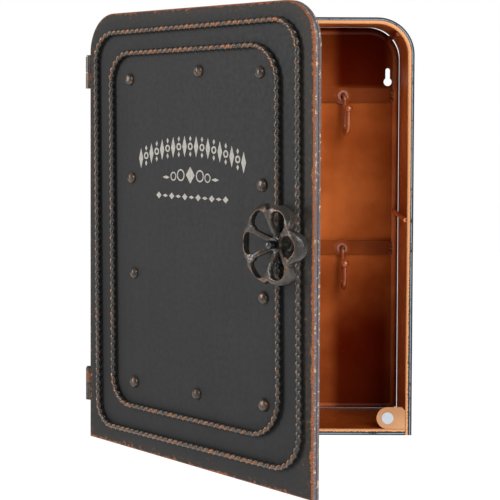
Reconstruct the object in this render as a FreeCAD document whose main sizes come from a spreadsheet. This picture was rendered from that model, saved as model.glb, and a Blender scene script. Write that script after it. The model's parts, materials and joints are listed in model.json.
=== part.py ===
"""Wall key cabinet styled as an old safe, with its door standing open.

Row frame, in millimetres: the origin is the middle of the face that lies on the wall, +X is to
the right seen from the front, +Y points into the wall and +Z is up. Parts are modelled about the
middle of the base, the door's with the door closed. Each is then moved to the row frame, and the
door's are first swung about the hinge axis to the rest pose.
"""
import FreeCAD, Part

import math
import os

import Sketcher

from FreeCAD import Placement, Rotation, Vector

SIZES = {
    # case
    "case_width": 266.4,
    "case_height": 350.0,
    "case_depth": 88.5,
    "corner_radius": 31.0,
    "skin": 0.8,
    "wall": 3.6,
    "rim_width": 5.5,
    "rim_depth": 3.0,
    "rim_round": 1.4,
    "slip": 0.03,
    # back frame, its braces and the hook rails
    "frame_rod": 2.2,
    "frame_inset_side": 7.8,
    "frame_inset_top": 8.2,
    "frame_height_low": 8.4,
    "sheet_inset": 3.95,
    "sheet_height_low": 6.4,
    "sheet_blunt": 1.6,
    "sheet_rise": 0.25,
    "frame_corner": 23.5,
    "brace_rod": 1.95,
    "side_brace_height": 182.0,
    "rail_height": 12.3,
    "rail_thickness": 2.0,
    "rail_stand_off": 0.8,
    "rail_upper_level": 286.2,
    "rail_lower_level": 150.3,
    # hooks
    "hook_pitch": 52.9,
    "hook_wire": 1.9,
    "hook_start": 0.4,
    "hook_reach": 4.0,
    "hook_bend": 3.0,
    "hook_drop": 25.8,
    "hook_throat": 8.0,
    "hook_rise": 14.4,
    "hook_ball": 3.8,
    "rosette_radius": 7.6,
    "rosette_hole": 2.6,
    "rosette_depth": 2.4,
    "rosette_sheet": 0.7,
    # wall screws
    "keyhole_spacing": 238.4,
    "keyhole_level": 298.1,
    "keyhole_radius": 3.6,
    "keyslot_radius": 2.0,
    "keyslot_rise": 10.2,
    # magnetic catch
    "magnet_radius": 5.0,
    "magnet_length": 4.2,
    "magnet_x": 112.8,
    "magnet_level": 14.7,
    "catch_end_radius": 9.1,
    "catch_thickness": 1.2,
    "catch_chamfer": 4.0,
    # hinges
    "axis_outside": 3.5,
    "axis_ahead": 5.5,
    "hinge_height": 26.4,
    "hinge_gap": 0.4,
    "hinge_upper_level": 302.9,
    "hinge_lower_level": 44.3,
    "knuckle_radius": 2.8,
    "pin_radius": 1.4,
    "pin_clearance": 0.05,
    "pin_head_radius": 2.2,
    "pin_head": 0.8,
    "leaf_length": 18.0,
    "leaf_thickness": 1.9,
    "leaf_bridge": 1.2,
    # door
    "door_opening": 48.7,
    "door_gap": 0.5,
    "door_front": 7.6,
    "door_bottom": 0.6,
    "door_edge_round": 1.8,
    "liner_depth": 2.5,
    "liner_sheet": 0.6,
    # twisted rods, rivets and ornament on the door
    "rope_radius": 2.5,
    "trim_lean": 0.8,
    "rivet_radius": 4.7,
    "rivet_rise": 3.6,
    "ornament_thickness": 0.15,
    # handwheel
    "wheel_x": 109.4,
    "wheel_level": 179.0,
    "base_radius": 5.6,
    "base_top": 13.2,
    "hub_radius": 5.8,
    "hub_bottom": 13.6,
    "hub_top": 21.8,
    "bolt_radius": 2.4,
    "bolt_clearance": 0.06,
    "washer_radius": 4.2,
    "washer_bottom": 22.1,
    "washer_thickness": 0.7,
    "bolt_head_radius": 3.0,
    "bolt_head_rise": 6.8,
    "bolt_cap": 1.6,
    "bolt_end": 2.4,
    "nut_flats": 8.0,
    "nut_thickness": 3.4,
    "spoke_width": 3.6,
    "spoke_ring": 20.5,
    "spoke_end_radius": 3.2,
    "petal_tip": 28.4,
    "petal_width": 4.3,
}

# Twisted rod frames on the door, from the hinge edge and the bottom of the case:
# left, right, bottom, top, then the corner radii from lower left, anticlockwise.
ROPE_FRAMES = {
    "outer_rope": (14.8, 254.2, 17.2, 335.3, (18.6, 26.5, 24.3, 23.0)),
    "inner_rope": (35.6, 233.1, 37.5, 318.2, (21.3, 29.5, 27.8, 23.0)),
}

# Rivets, from the hinge edge and the bottom of the case, before the trim's lean.
RIVET_PLACES = [
    (57.6, 297.6), (143.8, 301.5), (212.9, 298.5),
    (59.1, 219.4), (214.8, 217.8),
    (61.6, 143.6), (215.6, 136.8),
    (61.1, 56.6), (139.3, 57.3), (215.3, 59.6),
]

# How far each hook of a rail is turned out of square, from left to right.
HOOK_TURNS = {"upper": (-9.0, 5.0, -4.0, 8.5), "lower": (6.0, -8.0, 4.0, 2.5)}

# Front and rear faces of the handwheel from its bore outwards: distance from the wheel's axis,
# then height over the case's rim.
WHEEL_FRONT = [(5.8, 21.8), (9.0, 23.8), (13.0, 26.4), (17.0, 28.0), (21.0, 28.9), (24.0, 29.2),
               (26.5, 28.3), (28.5, 26.0), (31.5, 21.5)]
WHEEL_REAR = [(31.5, 17.2), (29.0, 19.8), (26.5, 22.6), (24.0, 24.6), (21.0, 25.0), (17.0, 24.2),
              (13.0, 22.2), (9.0, 19.0), (7.4, 15.8), (6.2, 13.6)]

LEVELS = ("upper", "lower")
SIDES = {"left": -1, "right": 1}
PETALS = 6

doc = FreeCAD.newDocument("KeyCabinet")
sheet = doc.addObject("Spreadsheet::Sheet", "Sizes")
for row, (alias, value) in enumerate(SIZES.items(), start=1):
    sheet.set(f"A{row}", alias)
    sheet.set(f"B{row}", str(value))
    sheet.setAlias(f"B{row}", alias)
doc.recompute()

nodes = []


def size(alias):
    """Return a driving dimension from the sheet."""
    return float(getattr(sheet, alias))


FRONT = -size("case_depth") / 2
BACK = size("case_depth") / 2
HALF_WIDTH = size("case_width") / 2
DOOR_FACE = FRONT - size("door_front")
HINGE_AXIS = Vector(-HALF_WIDTH - size("axis_outside"), FRONT - size("axis_ahead"), 0)
DOOR_SWING = Placement(Vector(), Rotation(Vector(0, 0, 1), -size("door_opening")), HINGE_AXIS)
ROW_FRAME = Placement(Vector(0, -BACK, -size("case_height") / 2), Rotation())
OUTWARD = Rotation(Vector(1, 0, 0), 90)
WHEEL_SEAT = Placement(Vector(size("wheel_x"), FRONT, size("wheel_level")), OUTWARD)


def bind(item, **expressions):
    """Bind properties of an object to expressions on the sheet, and return the object."""
    for name, expression in expressions.items():
        item.setExpression(name, expression)
    return item


def node(item, label, on_door=False):
    """Keep an object as a named piece in the row frame, swung first if it is on the door."""
    item.Label = label
    if on_door:
        item.Placement = DOOR_SWING.multiply(item.Placement)
    item.Placement = ROW_FRAME.multiply(item.Placement)
    nodes.append(item)
    return item


def shaped(name, shape, on_door=False):
    """Keep a shape that has no feature of its own as a named piece."""
    item = doc.addObject("Part::Feature", name)
    item.Shape = shape
    return node(item, name, on_door)


def box(name, length, width, height, corner):
    """Add a Part box whose sizes are expressions and whose low corner is given."""
    item = doc.addObject("Part::Box", name)
    item.Placement = Placement(corner, Rotation())
    return bind(item, Length=length, Width=width, Height=height)


def cylinder(name, radius, height, base, turn=None):
    """Add a Part cylinder whose sizes are expressions, standing at a base point."""
    item = doc.addObject("Part::Cylinder", name)
    item.Placement = Placement(base, turn or Rotation())
    return bind(item, Radius=radius, Height=height)


def boolean(kind, name, base, tools):
    """Cut tools from a base, or fuse them with it."""
    if kind == "Cut" and len(tools) > 1:
        tools = [boolean("Fuse", name + "_tools", tools[0], tools[1:])]
    if kind == "Cut":
        item = doc.addObject("Part::Cut", name)
        item.Base = base
        item.Tool = tools[0]
        return item
    item = doc.addObject("Part::MultiFuse", name)
    item.Shapes = [base] + list(tools)
    item.Refine = True
    return item


def origin_plane(body, role):
    """Find one of a body's own origin planes."""
    return next(plane for plane in body.Origin.OriginFeatures if plane.Role == role)


def front_sketch(body, name, ahead):
    """Add a sketch that faces the front, a distance ahead of the middle of the case."""
    sketch = body.newObject("Sketcher::SketchObject", name)
    sketch.AttachmentSupport = [(origin_plane(body, "XZ_Plane"), "")]
    sketch.MapMode = "FlatFace"
    bind(sketch, **{".AttachmentOffset.Base.z": ahead})
    return sketch


def draw_arch(sketch, inset, low, blunt="0", rise="0"):
    """Draw the case outline, drawn in by an inset, with a flat bottom and blunter corners.

    The top edge stands higher by the rise.
    """
    half, top, radius = 100.0, 300.0, 20.0
    corner = Vector(half - radius, top - radius)
    left_corner = Vector(-corner.x, corner.y)
    quarter = math.pi / 2
    sketch.addGeometry([
        Part.LineSegment(Vector(-half, 0), Vector(-half, corner.y)),
        Part.ArcOfCircle(Part.Circle(left_corner, Vector(0, 0, 1), radius), quarter, 2 * quarter),
        Part.LineSegment(Vector(-corner.x, top), Vector(corner.x, top)),
        Part.ArcOfCircle(Part.Circle(corner, Vector(0, 0, 1), radius), 0, quarter),
        Part.LineSegment(Vector(half, corner.y), Vector(half, 0)),
        Part.LineSegment(Vector(half, 0), Vector(-half, 0)),
    ])
    sketch.addConstraint([
        Sketcher.Constraint("Tangent", 0, 2, 1, 2),
        Sketcher.Constraint("Tangent", 1, 1, 2, 1),
        Sketcher.Constraint("Tangent", 2, 2, 3, 2),
        Sketcher.Constraint("Tangent", 3, 1, 4, 1),
        Sketcher.Constraint("Coincident", 4, 2, 5, 1),
        Sketcher.Constraint("Coincident", 5, 2, 0, 1),
        Sketcher.Constraint("Vertical", 0),
        Sketcher.Constraint("Vertical", 4),
        Sketcher.Constraint("Horizontal", 2),
        Sketcher.Constraint("Equal", 1, 3),
        Sketcher.Constraint("Symmetric", 5, 1, 5, 2, -2),
    ])
    dimensions = {
        "width": (Sketcher.Constraint("DistanceX", 5, 2, 5, 1, 2 * half),
                  f"Sizes.case_width - 2 * ({inset})"),
        "radius": (Sketcher.Constraint("Radius", 1, radius),
                   f"Sizes.corner_radius - ({inset}) + ({blunt})"),
        "top": (Sketcher.Constraint("DistanceY", -1, 1, 2, 2, top),
                f"Sizes.case_height - ({inset}) + ({rise})"),
        "height": (Sketcher.Constraint("DistanceY", 5, 1, 2, 2, top),
                   f"Sizes.case_height - ({inset}) + ({rise}) - ({low})"),
    }
    for name, (constraint, expression) in dimensions.items():
        index = sketch.addConstraint(constraint)
        sketch.renameConstraint(index, name)
        sketch.setExpression("Constraints." + name, expression)


def draw_bar(sketch, half, low, high):
    """Draw a rectangle, even about the middle, between two levels."""
    sketch.addGeometry([
        Part.LineSegment(Vector(-50, 1), Vector(50, 1)),
        Part.LineSegment(Vector(50, 1), Vector(50, 5)),
        Part.LineSegment(Vector(50, 5), Vector(-50, 5)),
        Part.LineSegment(Vector(-50, 5), Vector(-50, 1)),
    ])
    sides = [Sketcher.Constraint("Coincident", side, 2, (side + 1) % 4, 1) for side in range(4)]
    sketch.addConstraint(sides + [
        Sketcher.Constraint("Horizontal", 2),
        Sketcher.Constraint("Vertical", 1),
        Sketcher.Constraint("Symmetric", 0, 1, 0, 2, -2),
    ])
    dimensions = {
        "width": (Sketcher.Constraint("DistanceX", 0, 1, 0, 2, 100), f"2 * ({half})"),
        "top": (Sketcher.Constraint("DistanceY", -1, 1, 2, 1, 5), high),
        "height": (Sketcher.Constraint("DistanceY", 1, 1, 1, 2, 4), f"({high}) - ({low})"),
    }
    for name, (constraint, expression) in dimensions.items():
        index = sketch.addConstraint(constraint)
        sketch.renameConstraint(index, name)
        sketch.setExpression("Constraints." + name, expression)


def extrude(body, kind, sketch, length, backwards):
    """Pad or pocket a sketch to a length, towards the wall or towards the front."""
    feature = body.newObject("PartDesign::" + kind, f"{sketch.Name}_{kind.lower()}")
    feature.Profile = sketch
    feature.Reversed = backwards if kind == "Pad" else not backwards
    bind(feature, Length=length)
    body.Tip = feature
    doc.recompute()
    return feature


def arch_feature(body, kind, name, ahead, length, inset="0", low="0", backwards=True):
    """Pad or pocket the case outline from a plane a distance ahead of the middle."""
    sketch = front_sketch(body, name, ahead)
    draw_arch(sketch, inset, low)
    return extrude(body, kind, sketch, length, backwards)


def round_edges(body, feature, level_y, radius):
    """Fillet every edge of a feature that lies in one plane facing the front."""
    names = []
    for index, edge in enumerate(feature.Shape.Edges, start=1):
        if abs(edge.BoundBox.YMin - level_y) < 1e-4 and abs(edge.BoundBox.YMax - level_y) < 1e-4:
            names.append(f"Edge{index}")
    fillet = body.newObject("PartDesign::Fillet", body.Name + "_round")
    fillet.Base = (feature, names)
    bind(fillet, Radius=radius)
    body.Tip = fillet
    doc.recompute()
    return fillet


def rod_along(edges, radius):
    """Sweep a round section along a smooth path."""
    path = Part.Wire(edges)
    first = path.OrderedEdges[0]
    start = first.valueAt(first.FirstParameter)
    heading = first.tangentAt(first.FirstParameter)
    section = Part.Wire(Part.Circle(start, heading, radius).toShape())
    return path.makePipeShell([section], True, False)


def straight_rod(start, end, radius):
    """Make a round rod between two points."""
    return Part.makeCylinder(radius, start.distanceToPoint(end), start, end.sub(start))


# ---------------------------------------------------------------- case

def make_case_wrap():
    """Top and sides: one sheet folded double, with a rolled rim at the front."""
    body = doc.addObject("PartDesign::Body", "case_wrap")
    front = "Sizes.case_depth / 2"
    behind_rim = "Sizes.case_depth / 2 - Sizes.rim_depth"
    walls = "Sizes.case_depth - Sizes.rim_depth"
    arch_feature(body, "Pad", "rim_block", front, "Sizes.rim_depth")
    opening = arch_feature(body, "Pocket", "rim_opening", front, "Sizes.rim_depth",
                           inset="Sizes.rim_width", low="-10")
    round_edges(body, opening, FRONT, "Sizes.rim_round")
    arch_feature(body, "Pad", "outer_block", behind_rim, walls)
    arch_feature(body, "Pocket", "outer_hollow", behind_rim, walls,
                 inset="Sizes.skin", low="-10")
    arch_feature(body, "Pad", "inner_block", behind_rim, walls,
                 inset="Sizes.wall - Sizes.skin")
    arch_feature(body, "Pocket", "inner_hollow", behind_rim, walls,
                 inset="Sizes.wall", low="-10")
    node(body, "case_wrap")


def make_case_floor():
    """Floor tray: two skins joined by the rolled rim at the front."""
    body = doc.addObject("PartDesign::Body", "case_floor")
    rim = front_sketch(body, "floor_rim", "Sizes.case_depth / 2")
    draw_bar(rim, "Sizes.case_width / 2 - Sizes.rim_width - Sizes.slip", "0", "Sizes.rim_width")
    rim_pad = extrude(body, "Pad", rim, "Sizes.rim_depth", True)
    round_edges(body, rim_pad, FRONT, "Sizes.rim_round")
    slab = front_sketch(body, "floor_slab", "Sizes.case_depth / 2 - Sizes.rim_depth")
    draw_bar(slab, "Sizes.case_width / 2 - Sizes.wall - Sizes.slip", "0", "Sizes.rim_width")
    extrude(body, "Pad", slab, "Sizes.case_depth - Sizes.rim_depth", True)
    gap = front_sketch(body, "floor_gap", "Sizes.case_depth / 2 - Sizes.rim_depth")
    draw_bar(gap, "Sizes.case_width / 2", "Sizes.skin", "Sizes.rim_width - Sizes.skin")
    extrude(body, "Pocket", gap, "Sizes.case_depth - Sizes.rim_depth", True)
    node(body, "case_floor")


def make_back_panel():
    """Flat back sheet with a keyhole near each upper corner."""
    body = doc.addObject("PartDesign::Body", "back_sheet")
    sketch = front_sketch(body, "back_outline", "Sizes.skin - Sizes.case_depth / 2")
    draw_arch(sketch, "Sizes.sheet_inset", "Sizes.sheet_height_low", "Sizes.sheet_blunt",
              "Sizes.sheet_rise")
    extrude(body, "Pad", sketch, "Sizes.skin", True)
    tools = []
    for side, sign in SIDES.items():
        centre = Vector(sign * size("keyhole_spacing") / 2, BACK + 1, size("keyhole_level"))
        slot_end = centre + Vector(0, 0, size("keyslot_rise"))
        slot_corner = centre - Vector(size("keyslot_radius"), 3, 0)
        tools += [
            cylinder("keyhole_" + side, "Sizes.keyhole_radius", "3", centre, OUTWARD),
            cylinder("keyslot_" + side, "Sizes.keyslot_radius", "3", slot_end, OUTWARD),
            box("keyslot_neck_" + side, "2 * Sizes.keyslot_radius", "3",
                "Sizes.keyslot_rise", slot_corner),
        ]
    node(boolean("Cut", "back_panel_cut", body, tools), "back_panel")


def frame_plane():
    """Depth of the middle of the back frame's rod, just ahead of the back sheet."""
    return BACK - size("skin") - size("slip") - size("frame_rod")


def make_back_frame():
    """Rod bent into an arch round the back sheet, closed by a straight rod at the bottom."""
    half = HALF_WIDTH - size("frame_inset_side")
    top = size("case_height") - size("frame_inset_top")
    low = size("frame_height_low")
    corner = size("frame_corner")
    depth = frame_plane()
    middle = corner * (1 - math.cos(math.radians(45)))
    left_arc = Part.Arc(Vector(-half, depth, top - corner), Vector(-half + middle, depth, top - middle),
                        Vector(-half + corner, depth, top))
    right_arc = Part.Arc(Vector(half - corner, depth, top), Vector(half - middle, depth, top - middle),
                         Vector(half, depth, top - corner))
    edges = [
        Part.LineSegment(Vector(-half, depth, low), left_arc.StartPoint).toShape(),
        left_arc.toShape(),
        Part.LineSegment(left_arc.EndPoint, right_arc.StartPoint).toShape(),
        right_arc.toShape(),
        Part.LineSegment(right_arc.EndPoint, Vector(half, depth, low)).toShape(),
    ]
    arch = rod_along(edges, size("frame_rod"))
    sill = straight_rod(Vector(-half, depth, low), Vector(half, depth, low), size("frame_rod"))
    elbows = [Part.makeSphere(size("frame_rod"), Vector(sign * half, depth, low)) for sign in (-1, 1)]
    shaped("back_frame", arch.multiFuse([sill] + elbows).removeSplitter())


def make_braces():
    """Rods that tie the back frame to the front rim, half way up and at the top corners."""
    rod = size("brace_rod")
    back = frame_plane() - size("frame_rod") - size("slip")
    front = FRONT + size("rim_depth") + size("slip")
    wall_gap = size("wall") + rod + 0.4
    diagonal = math.cos(math.radians(45))
    frame_half = HALF_WIDTH - size("frame_inset_side")
    frame_corner_x = frame_half - size("frame_corner") * (1 - diagonal)
    frame_corner_z = (size("case_height") - size("frame_inset_top")
                      - size("frame_corner") * (1 - diagonal))
    rim_reach = (size("corner_radius") - wall_gap) * diagonal
    rim_corner_x = HALF_WIDTH - size("corner_radius") + rim_reach
    rim_corner_z = size("case_height") - size("corner_radius") + rim_reach
    level = size("side_brace_height")
    for side, sign in SIDES.items():
        shaped("side_brace_" + side, straight_rod(
            Vector(sign * frame_half, back, level + 1),
            Vector(sign * (HALF_WIDTH - wall_gap), front, level - 1), rod))
        shaped("corner_strut_" + side, straight_rod(
            Vector(sign * frame_corner_x, back, frame_corner_z),
            Vector(sign * rim_corner_x, front, rim_corner_z), rod))


def rail_front():
    """Depth of the front face of the hook rails."""
    return BACK - size("skin") - size("rail_stand_off") - size("rail_thickness")


def make_rails():
    """Flat bars across the back frame."""
    reach = size("frame_inset_side") + size("frame_rod") + size("slip")
    for level in LEVELS:
        low = size(f"rail_{level}_level") - size("rail_height") / 2
        rail = box("hook_rail_" + level,
                   "Sizes.case_width - 2 * (Sizes.frame_inset_side + Sizes.frame_rod + Sizes.slip)",
                   "Sizes.rail_thickness", "Sizes.rail_height",
                   Vector(-HALF_WIDTH + reach, rail_front(), low))
        node(rail, "hook_rail_" + level)


def hook_places(level):
    """Where the hooks of a rail stand, with the turn of each."""
    height = size(f"rail_{level}_level") - 0.6
    turns = HOOK_TURNS[level]
    for index, turn in enumerate(turns):
        across = (index - (len(turns) - 1) / 2) * size("hook_pitch")
        yield Vector(across, rail_front(), height), turn


def hook_shape():
    """One hook at the origin: out of the rail, down, round a half circle and up to a ball."""
    reach, bend, throat = size("hook_reach"), size("hook_bend"), size("hook_throat")
    drop, rise = size("hook_drop"), size("hook_rise")
    slant = bend * (1 - math.cos(math.radians(45)))
    shank = -reach - bend
    bend_arc = Part.Arc(Vector(0, -reach, 0), Vector(0, shank + slant, -slant), Vector(0, shank, -bend))
    bottom = Part.Arc(Vector(0, shank, -drop), Vector(0, shank - throat, -drop - throat),
                      Vector(0, shank - 2 * throat, -drop))
    tip = Vector(0, shank - 2 * throat, -drop + rise)
    edges = [
        Part.LineSegment(Vector(0, -size("hook_start"), 0), bend_arc.StartPoint).toShape(),
        bend_arc.toShape(),
        Part.LineSegment(bend_arc.EndPoint, bottom.StartPoint).toShape(),
        bottom.toShape(),
        Part.LineSegment(bottom.EndPoint, tip).toShape(),
    ]
    wire = rod_along(edges, size("hook_wire"))
    return wire.fuse(Part.makeSphere(size("hook_ball"), tip)).removeSplitter()


def make_hooks():
    """Four hooks to a rail, each turned a little as a hand sets it."""
    pattern = hook_shape()
    for level in LEVELS:
        hooks = []
        for place, turn in hook_places(level):
            hook = pattern.copy()
            hook.Placement = Placement(place, Rotation(Vector(0, 0, 1), turn))
            hooks.append(hook)
        shaped("key_hooks_" + level, Part.makeCompound(hooks))


def make_rosettes():
    """A cupped washer round the root of each hook."""
    radius, hole = size("rosette_radius"), size("rosette_hole")
    depth, sheet_thickness = size("rosette_depth"), size("rosette_sheet")
    outline = Part.makePolygon([
        Vector(hole, 0, depth - sheet_thickness), Vector(radius * 0.55, 0, depth - sheet_thickness),
        Vector(radius - sheet_thickness, 0, 0), Vector(radius, 0, 0),
        Vector(radius * 0.62, 0, depth), Vector(hole, 0, depth),
        Vector(hole, 0, depth - sheet_thickness)])
    cup = Part.Face(outline).revolve(Vector(), Vector(0, 0, 1), 360)
    washers = []
    for level in LEVELS:
        for place, _ in hook_places(level):
            washer = cup.copy()
            washer.Placement = Placement(place - Vector(0, size("slip"), 0), OUTWARD)
            washers.append(washer)
    shaped("hook_rosettes", Part.makeCompound(washers))


def make_catch():
    """Tab with one round end at the lower right of the opening, and its magnet."""
    face = FRONT + 0.4
    centre = Vector(size("magnet_x"), face + size("catch_thickness"), size("magnet_level"))
    low = size("magnet_level") - size("catch_end_radius")
    right = HALF_WIDTH - size("rim_width") - size("slip")
    tab = box("catch_tab", "Sizes.case_width / 2 - Sizes.rim_width - Sizes.slip - Sizes.magnet_x",
              "Sizes.catch_thickness", "2 * Sizes.catch_end_radius",
              Vector(size("magnet_x"), face, low))
    end = cylinder("catch_end", "Sizes.catch_end_radius", "Sizes.catch_thickness", centre, OUTWARD)
    blank = boolean("Fuse", "catch_blank", tab, [end])
    seat = cylinder("catch_seat", "Sizes.magnet_radius", "3 * Sizes.catch_thickness",
                    centre + Vector(0, size("catch_thickness"), 0), OUTWARD)
    corner = box("catch_corner", "Sizes.catch_chamfer", "3 * Sizes.catch_thickness",
                 "Sizes.catch_chamfer", Vector())
    corner.Placement = Placement(
        Vector(right, face - size("catch_thickness"),
               low + 2 * size("catch_end_radius") - size("catch_chamfer") * math.sqrt(0.5)),
        Rotation(Vector(0, 1, 0), -45))
    node(boolean("Cut", "catch_cut", blank, [seat, corner]), "catch_plate")
    back = Vector(centre.x, FRONT + size("magnet_length"), centre.z)
    node(cylinder("catch_disc", "Sizes.magnet_radius - Sizes.slip", "Sizes.magnet_length",
                  back, OUTWARD), "catch_magnet")


# ---------------------------------------------------------------- hinges

def knuckle_span(level, owner):
    """Bottom of the half of a hinge that belongs to the case or to the door."""
    half = (size("hinge_height") - size("hinge_gap")) / 2
    middle = size(f"hinge_{level}_level")
    door_on_top = level == "upper"
    on_top = door_on_top if owner == "door" else not door_on_top
    return middle + size("hinge_gap") / 2 if on_top else middle - size("hinge_gap") / 2 - half


def make_case_hinges():
    """Leaf on the left wall, curled round the pin, and the pin with its head on top."""
    half_height = "(Sizes.hinge_height - Sizes.hinge_gap) / 2"
    for level in LEVELS:
        low = knuckle_span(level, "case")
        bottom = size(f"hinge_{level}_level") - size("hinge_height") / 2
        wall = -HALF_WIDTH - size("leaf_thickness")
        barrel = cylinder("case_barrel_" + level, "Sizes.knuckle_radius", half_height,
                          HINGE_AXIS + Vector(0, 0, low))
        leaf = box("case_leaf_" + level, "Sizes.leaf_thickness - Sizes.slip", "Sizes.leaf_length",
                   "Sizes.hinge_height", Vector(wall, FRONT + 1, bottom))
        bridge = box("case_bridge_" + level, "Sizes.leaf_bridge", "Sizes.axis_ahead + 2",
                     half_height, Vector(wall, HINGE_AXIS.y, low))
        bore = cylinder("case_bore_" + level, "Sizes.pin_radius", "Sizes.hinge_height",
                        HINGE_AXIS + Vector(0, 0, bottom))
        solid = boolean("Fuse", "case_hinge_" + level, barrel, [leaf, bridge])
        node(boolean("Cut", "case_hinge_cut_" + level, solid, [bore]), "hinge_leaf_" + level)
        pin = cylinder("pin_shank_" + level, "Sizes.pin_radius",
                       "Sizes.hinge_height + Sizes.hinge_gap", HINGE_AXIS + Vector(0, 0, bottom))
        head = cylinder("pin_head_" + level, "Sizes.pin_head_radius", "Sizes.pin_head",
                        HINGE_AXIS + Vector(0, 0, bottom + size("hinge_height") + size("hinge_gap")))
        node(boolean("Fuse", "pin_" + level, pin, [head]), "hinge_pin_" + level)


def make_door_hinges():
    """Short leaf on the edge of the door, curled round the pin with running clearance."""
    half_height = "(Sizes.hinge_height - Sizes.hinge_gap) / 2"
    leaf_start = size("knuckle_radius") - 0.4
    for level in LEVELS:
        low = knuckle_span(level, "door")
        barrel = cylinder("door_barrel_" + level, "Sizes.knuckle_radius", half_height,
                          HINGE_AXIS + Vector(0, 0, low))
        leaf = box("door_leaf_" + level,
                   "Sizes.axis_outside - Sizes.knuckle_radius + 0.4 - Sizes.slip", "6.6",
                   half_height, Vector(HINGE_AXIS.x + leaf_start, DOOR_FACE + 0.3, low))
        bore = cylinder("door_bore_" + level, "Sizes.pin_radius + Sizes.pin_clearance",
                        "Sizes.hinge_height", HINGE_AXIS + Vector(0, 0, low - 5))
        solid = boolean("Fuse", "door_hinge_" + level, barrel, [leaf])
        node(boolean("Cut", "door_hinge_cut_" + level, solid, [bore]), "door_knuckle_" + level,
             on_door=True)


# ---------------------------------------------------------------- door

def make_door_skin():
    """Pressed front tray, open to the back, with a hole for the wheel's bolt."""
    body = doc.addObject("PartDesign::Body", "door_skin")
    liner_front = "Sizes.case_depth / 2 + Sizes.door_gap + Sizes.liner_depth + Sizes.slip"
    depth = "Sizes.door_front - Sizes.door_gap - Sizes.liner_depth - Sizes.slip"
    blank = arch_feature(body, "Pad", "skin_block", liner_front, depth,
                         low="Sizes.door_bottom", backwards=False)
    round_edges(body, blank, DOOR_FACE, "Sizes.door_edge_round")
    arch_feature(body, "Pocket", "skin_hollow", liner_front, f"{depth} - Sizes.skin",
                 inset="Sizes.skin", low="Sizes.door_bottom + Sizes.skin", backwards=False)
    hole = front_sketch(body, "bolt_hole", liner_front)
    hole.addGeometry(Part.Circle(Vector(size("wheel_x"), size("wheel_level")), Vector(0, 0, 1), 3))
    for name, constraint, expression in (
            ("radius", Sketcher.Constraint("Radius", 0, 3.0), "Sizes.bolt_radius + 0.1"),
            ("across", Sketcher.Constraint("DistanceX", -1, 1, 0, 3, 100), "Sizes.wheel_x"),
            ("level", Sketcher.Constraint("DistanceY", -1, 1, 0, 3, 100), "Sizes.wheel_level")):
        hole.renameConstraint(hole.addConstraint(constraint), name)
        hole.setExpression("Constraints." + name, expression)
    extrude(body, "Pocket", hole, "Sizes.door_front", False)
    node(body, "door_skin", on_door=True)


def make_door_liner():
    """Shallow steel tray that closes the back of the door and meets the magnet."""
    body = doc.addObject("PartDesign::Body", "door_liner")
    back = "Sizes.case_depth / 2 + Sizes.door_gap"
    arch_feature(body, "Pad", "liner_block", back, "Sizes.liner_depth",
                 low="Sizes.door_bottom", backwards=False)
    arch_feature(body, "Pocket", "liner_hollow", back + " + Sizes.liner_sheet",
                 "Sizes.liner_depth", inset="Sizes.skin",
                 low="Sizes.door_bottom + Sizes.skin", backwards=False)
    node(body, "door_liner", on_door=True)


def trim_lean():
    """Turn of the welded trim about the middle of the door's face."""
    middle = Vector(0, DOOR_FACE, size("case_height") / 2)
    return Placement(Vector(), Rotation(Vector(0, 1, 0), -size("trim_lean")), middle)


def make_ropes():
    """Two frames of rod welded on the door's face; the twist is left plain."""
    radius = size("rope_radius")
    depth = DOOR_FACE - radius - size("slip")
    for name, (left, right, bottom, top, corners) in ROPE_FRAMES.items():
        left -= HALF_WIDTH
        right -= HALF_WIDTH
        points = [(left, bottom), (right, bottom), (right, top), (left, top)]
        headings = [(1, 0), (0, 1), (-1, 0), (0, -1)]
        pieces = []
        starts, ends = [], []
        for (x, z), (along_x, along_z), corner in zip(points, headings, corners):
            before = headings[headings.index((along_x, along_z)) - 1]
            enter = Vector(x - before[0] * corner, depth, z - before[1] * corner)
            leave = Vector(x + along_x * corner, depth, z + along_z * corner)
            centre = Vector(enter.x + along_x * corner, depth, enter.z + along_z * corner)
            bend = Part.makeTorus(corner, radius, centre, Vector(0, -1, 0), -180, 180, 90)
            spoke = enter.sub(centre)
            bend.rotate(centre, Vector(0, -1, 0), bend_turn(bend, centre, spoke, leave.sub(centre)))
            pieces.append(bend)
            starts.append(enter)
            ends.append(leave)
        for index in range(len(points)):
            pieces.append(straight_rod(ends[index - 1], starts[index], radius))
        rope = pieces[0].multiFuse(pieces[1:]).removeSplitter()
        rope.Placement = trim_lean().multiply(rope.Placement)
        shaped(name, rope, on_door=True)


def bend_turn(bend, centre, spoke, last):
    """Angle that turns a quarter ring so that it spans from one radius to the next."""
    middle = spoke.add(last)
    gravity = bend.CenterOfMass.sub(centre)
    turn = math.degrees(gravity.getAngle(middle))
    if gravity.cross(middle).dot(Vector(0, -1, 0)) < 0:
        turn = -turn
    return turn


def make_rivets():
    """Ten domed rivet heads, as caps of spheres."""
    foot, rise = size("rivet_radius"), size("rivet_rise")
    dome = (foot ** 2 + rise ** 2) / (2 * rise)
    lean = trim_lean()
    heads = []
    for from_edge, level in RIVET_PLACES:
        seat = Vector(from_edge - HALF_WIDTH, DOOR_FACE - size("slip"), level)
        ball = Part.makeSphere(dome, seat + Vector(0, dome - rise, 0))
        half_space = Part.makeBox(4 * dome, 4 * dome, 4 * dome, seat - Vector(2 * dome, 4 * dome, 2 * dome))
        head = ball.common(half_space)
        head.Placement = lean.multiply(head.Placement)
        heads.append(head)
    shaped("door_rivets", Part.makeCompound(heads), on_door=True)


def flat_prism(points, face_y):
    """Thin plate on the door's face from an outline in the plane of the door."""
    outline = [Vector(x, face_y, z) for x, z in points]
    face = Part.Face(Part.makePolygon(outline + outline[:1]))
    return face.extrude(Vector(0, -size("ornament_thickness"), 0))


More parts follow.
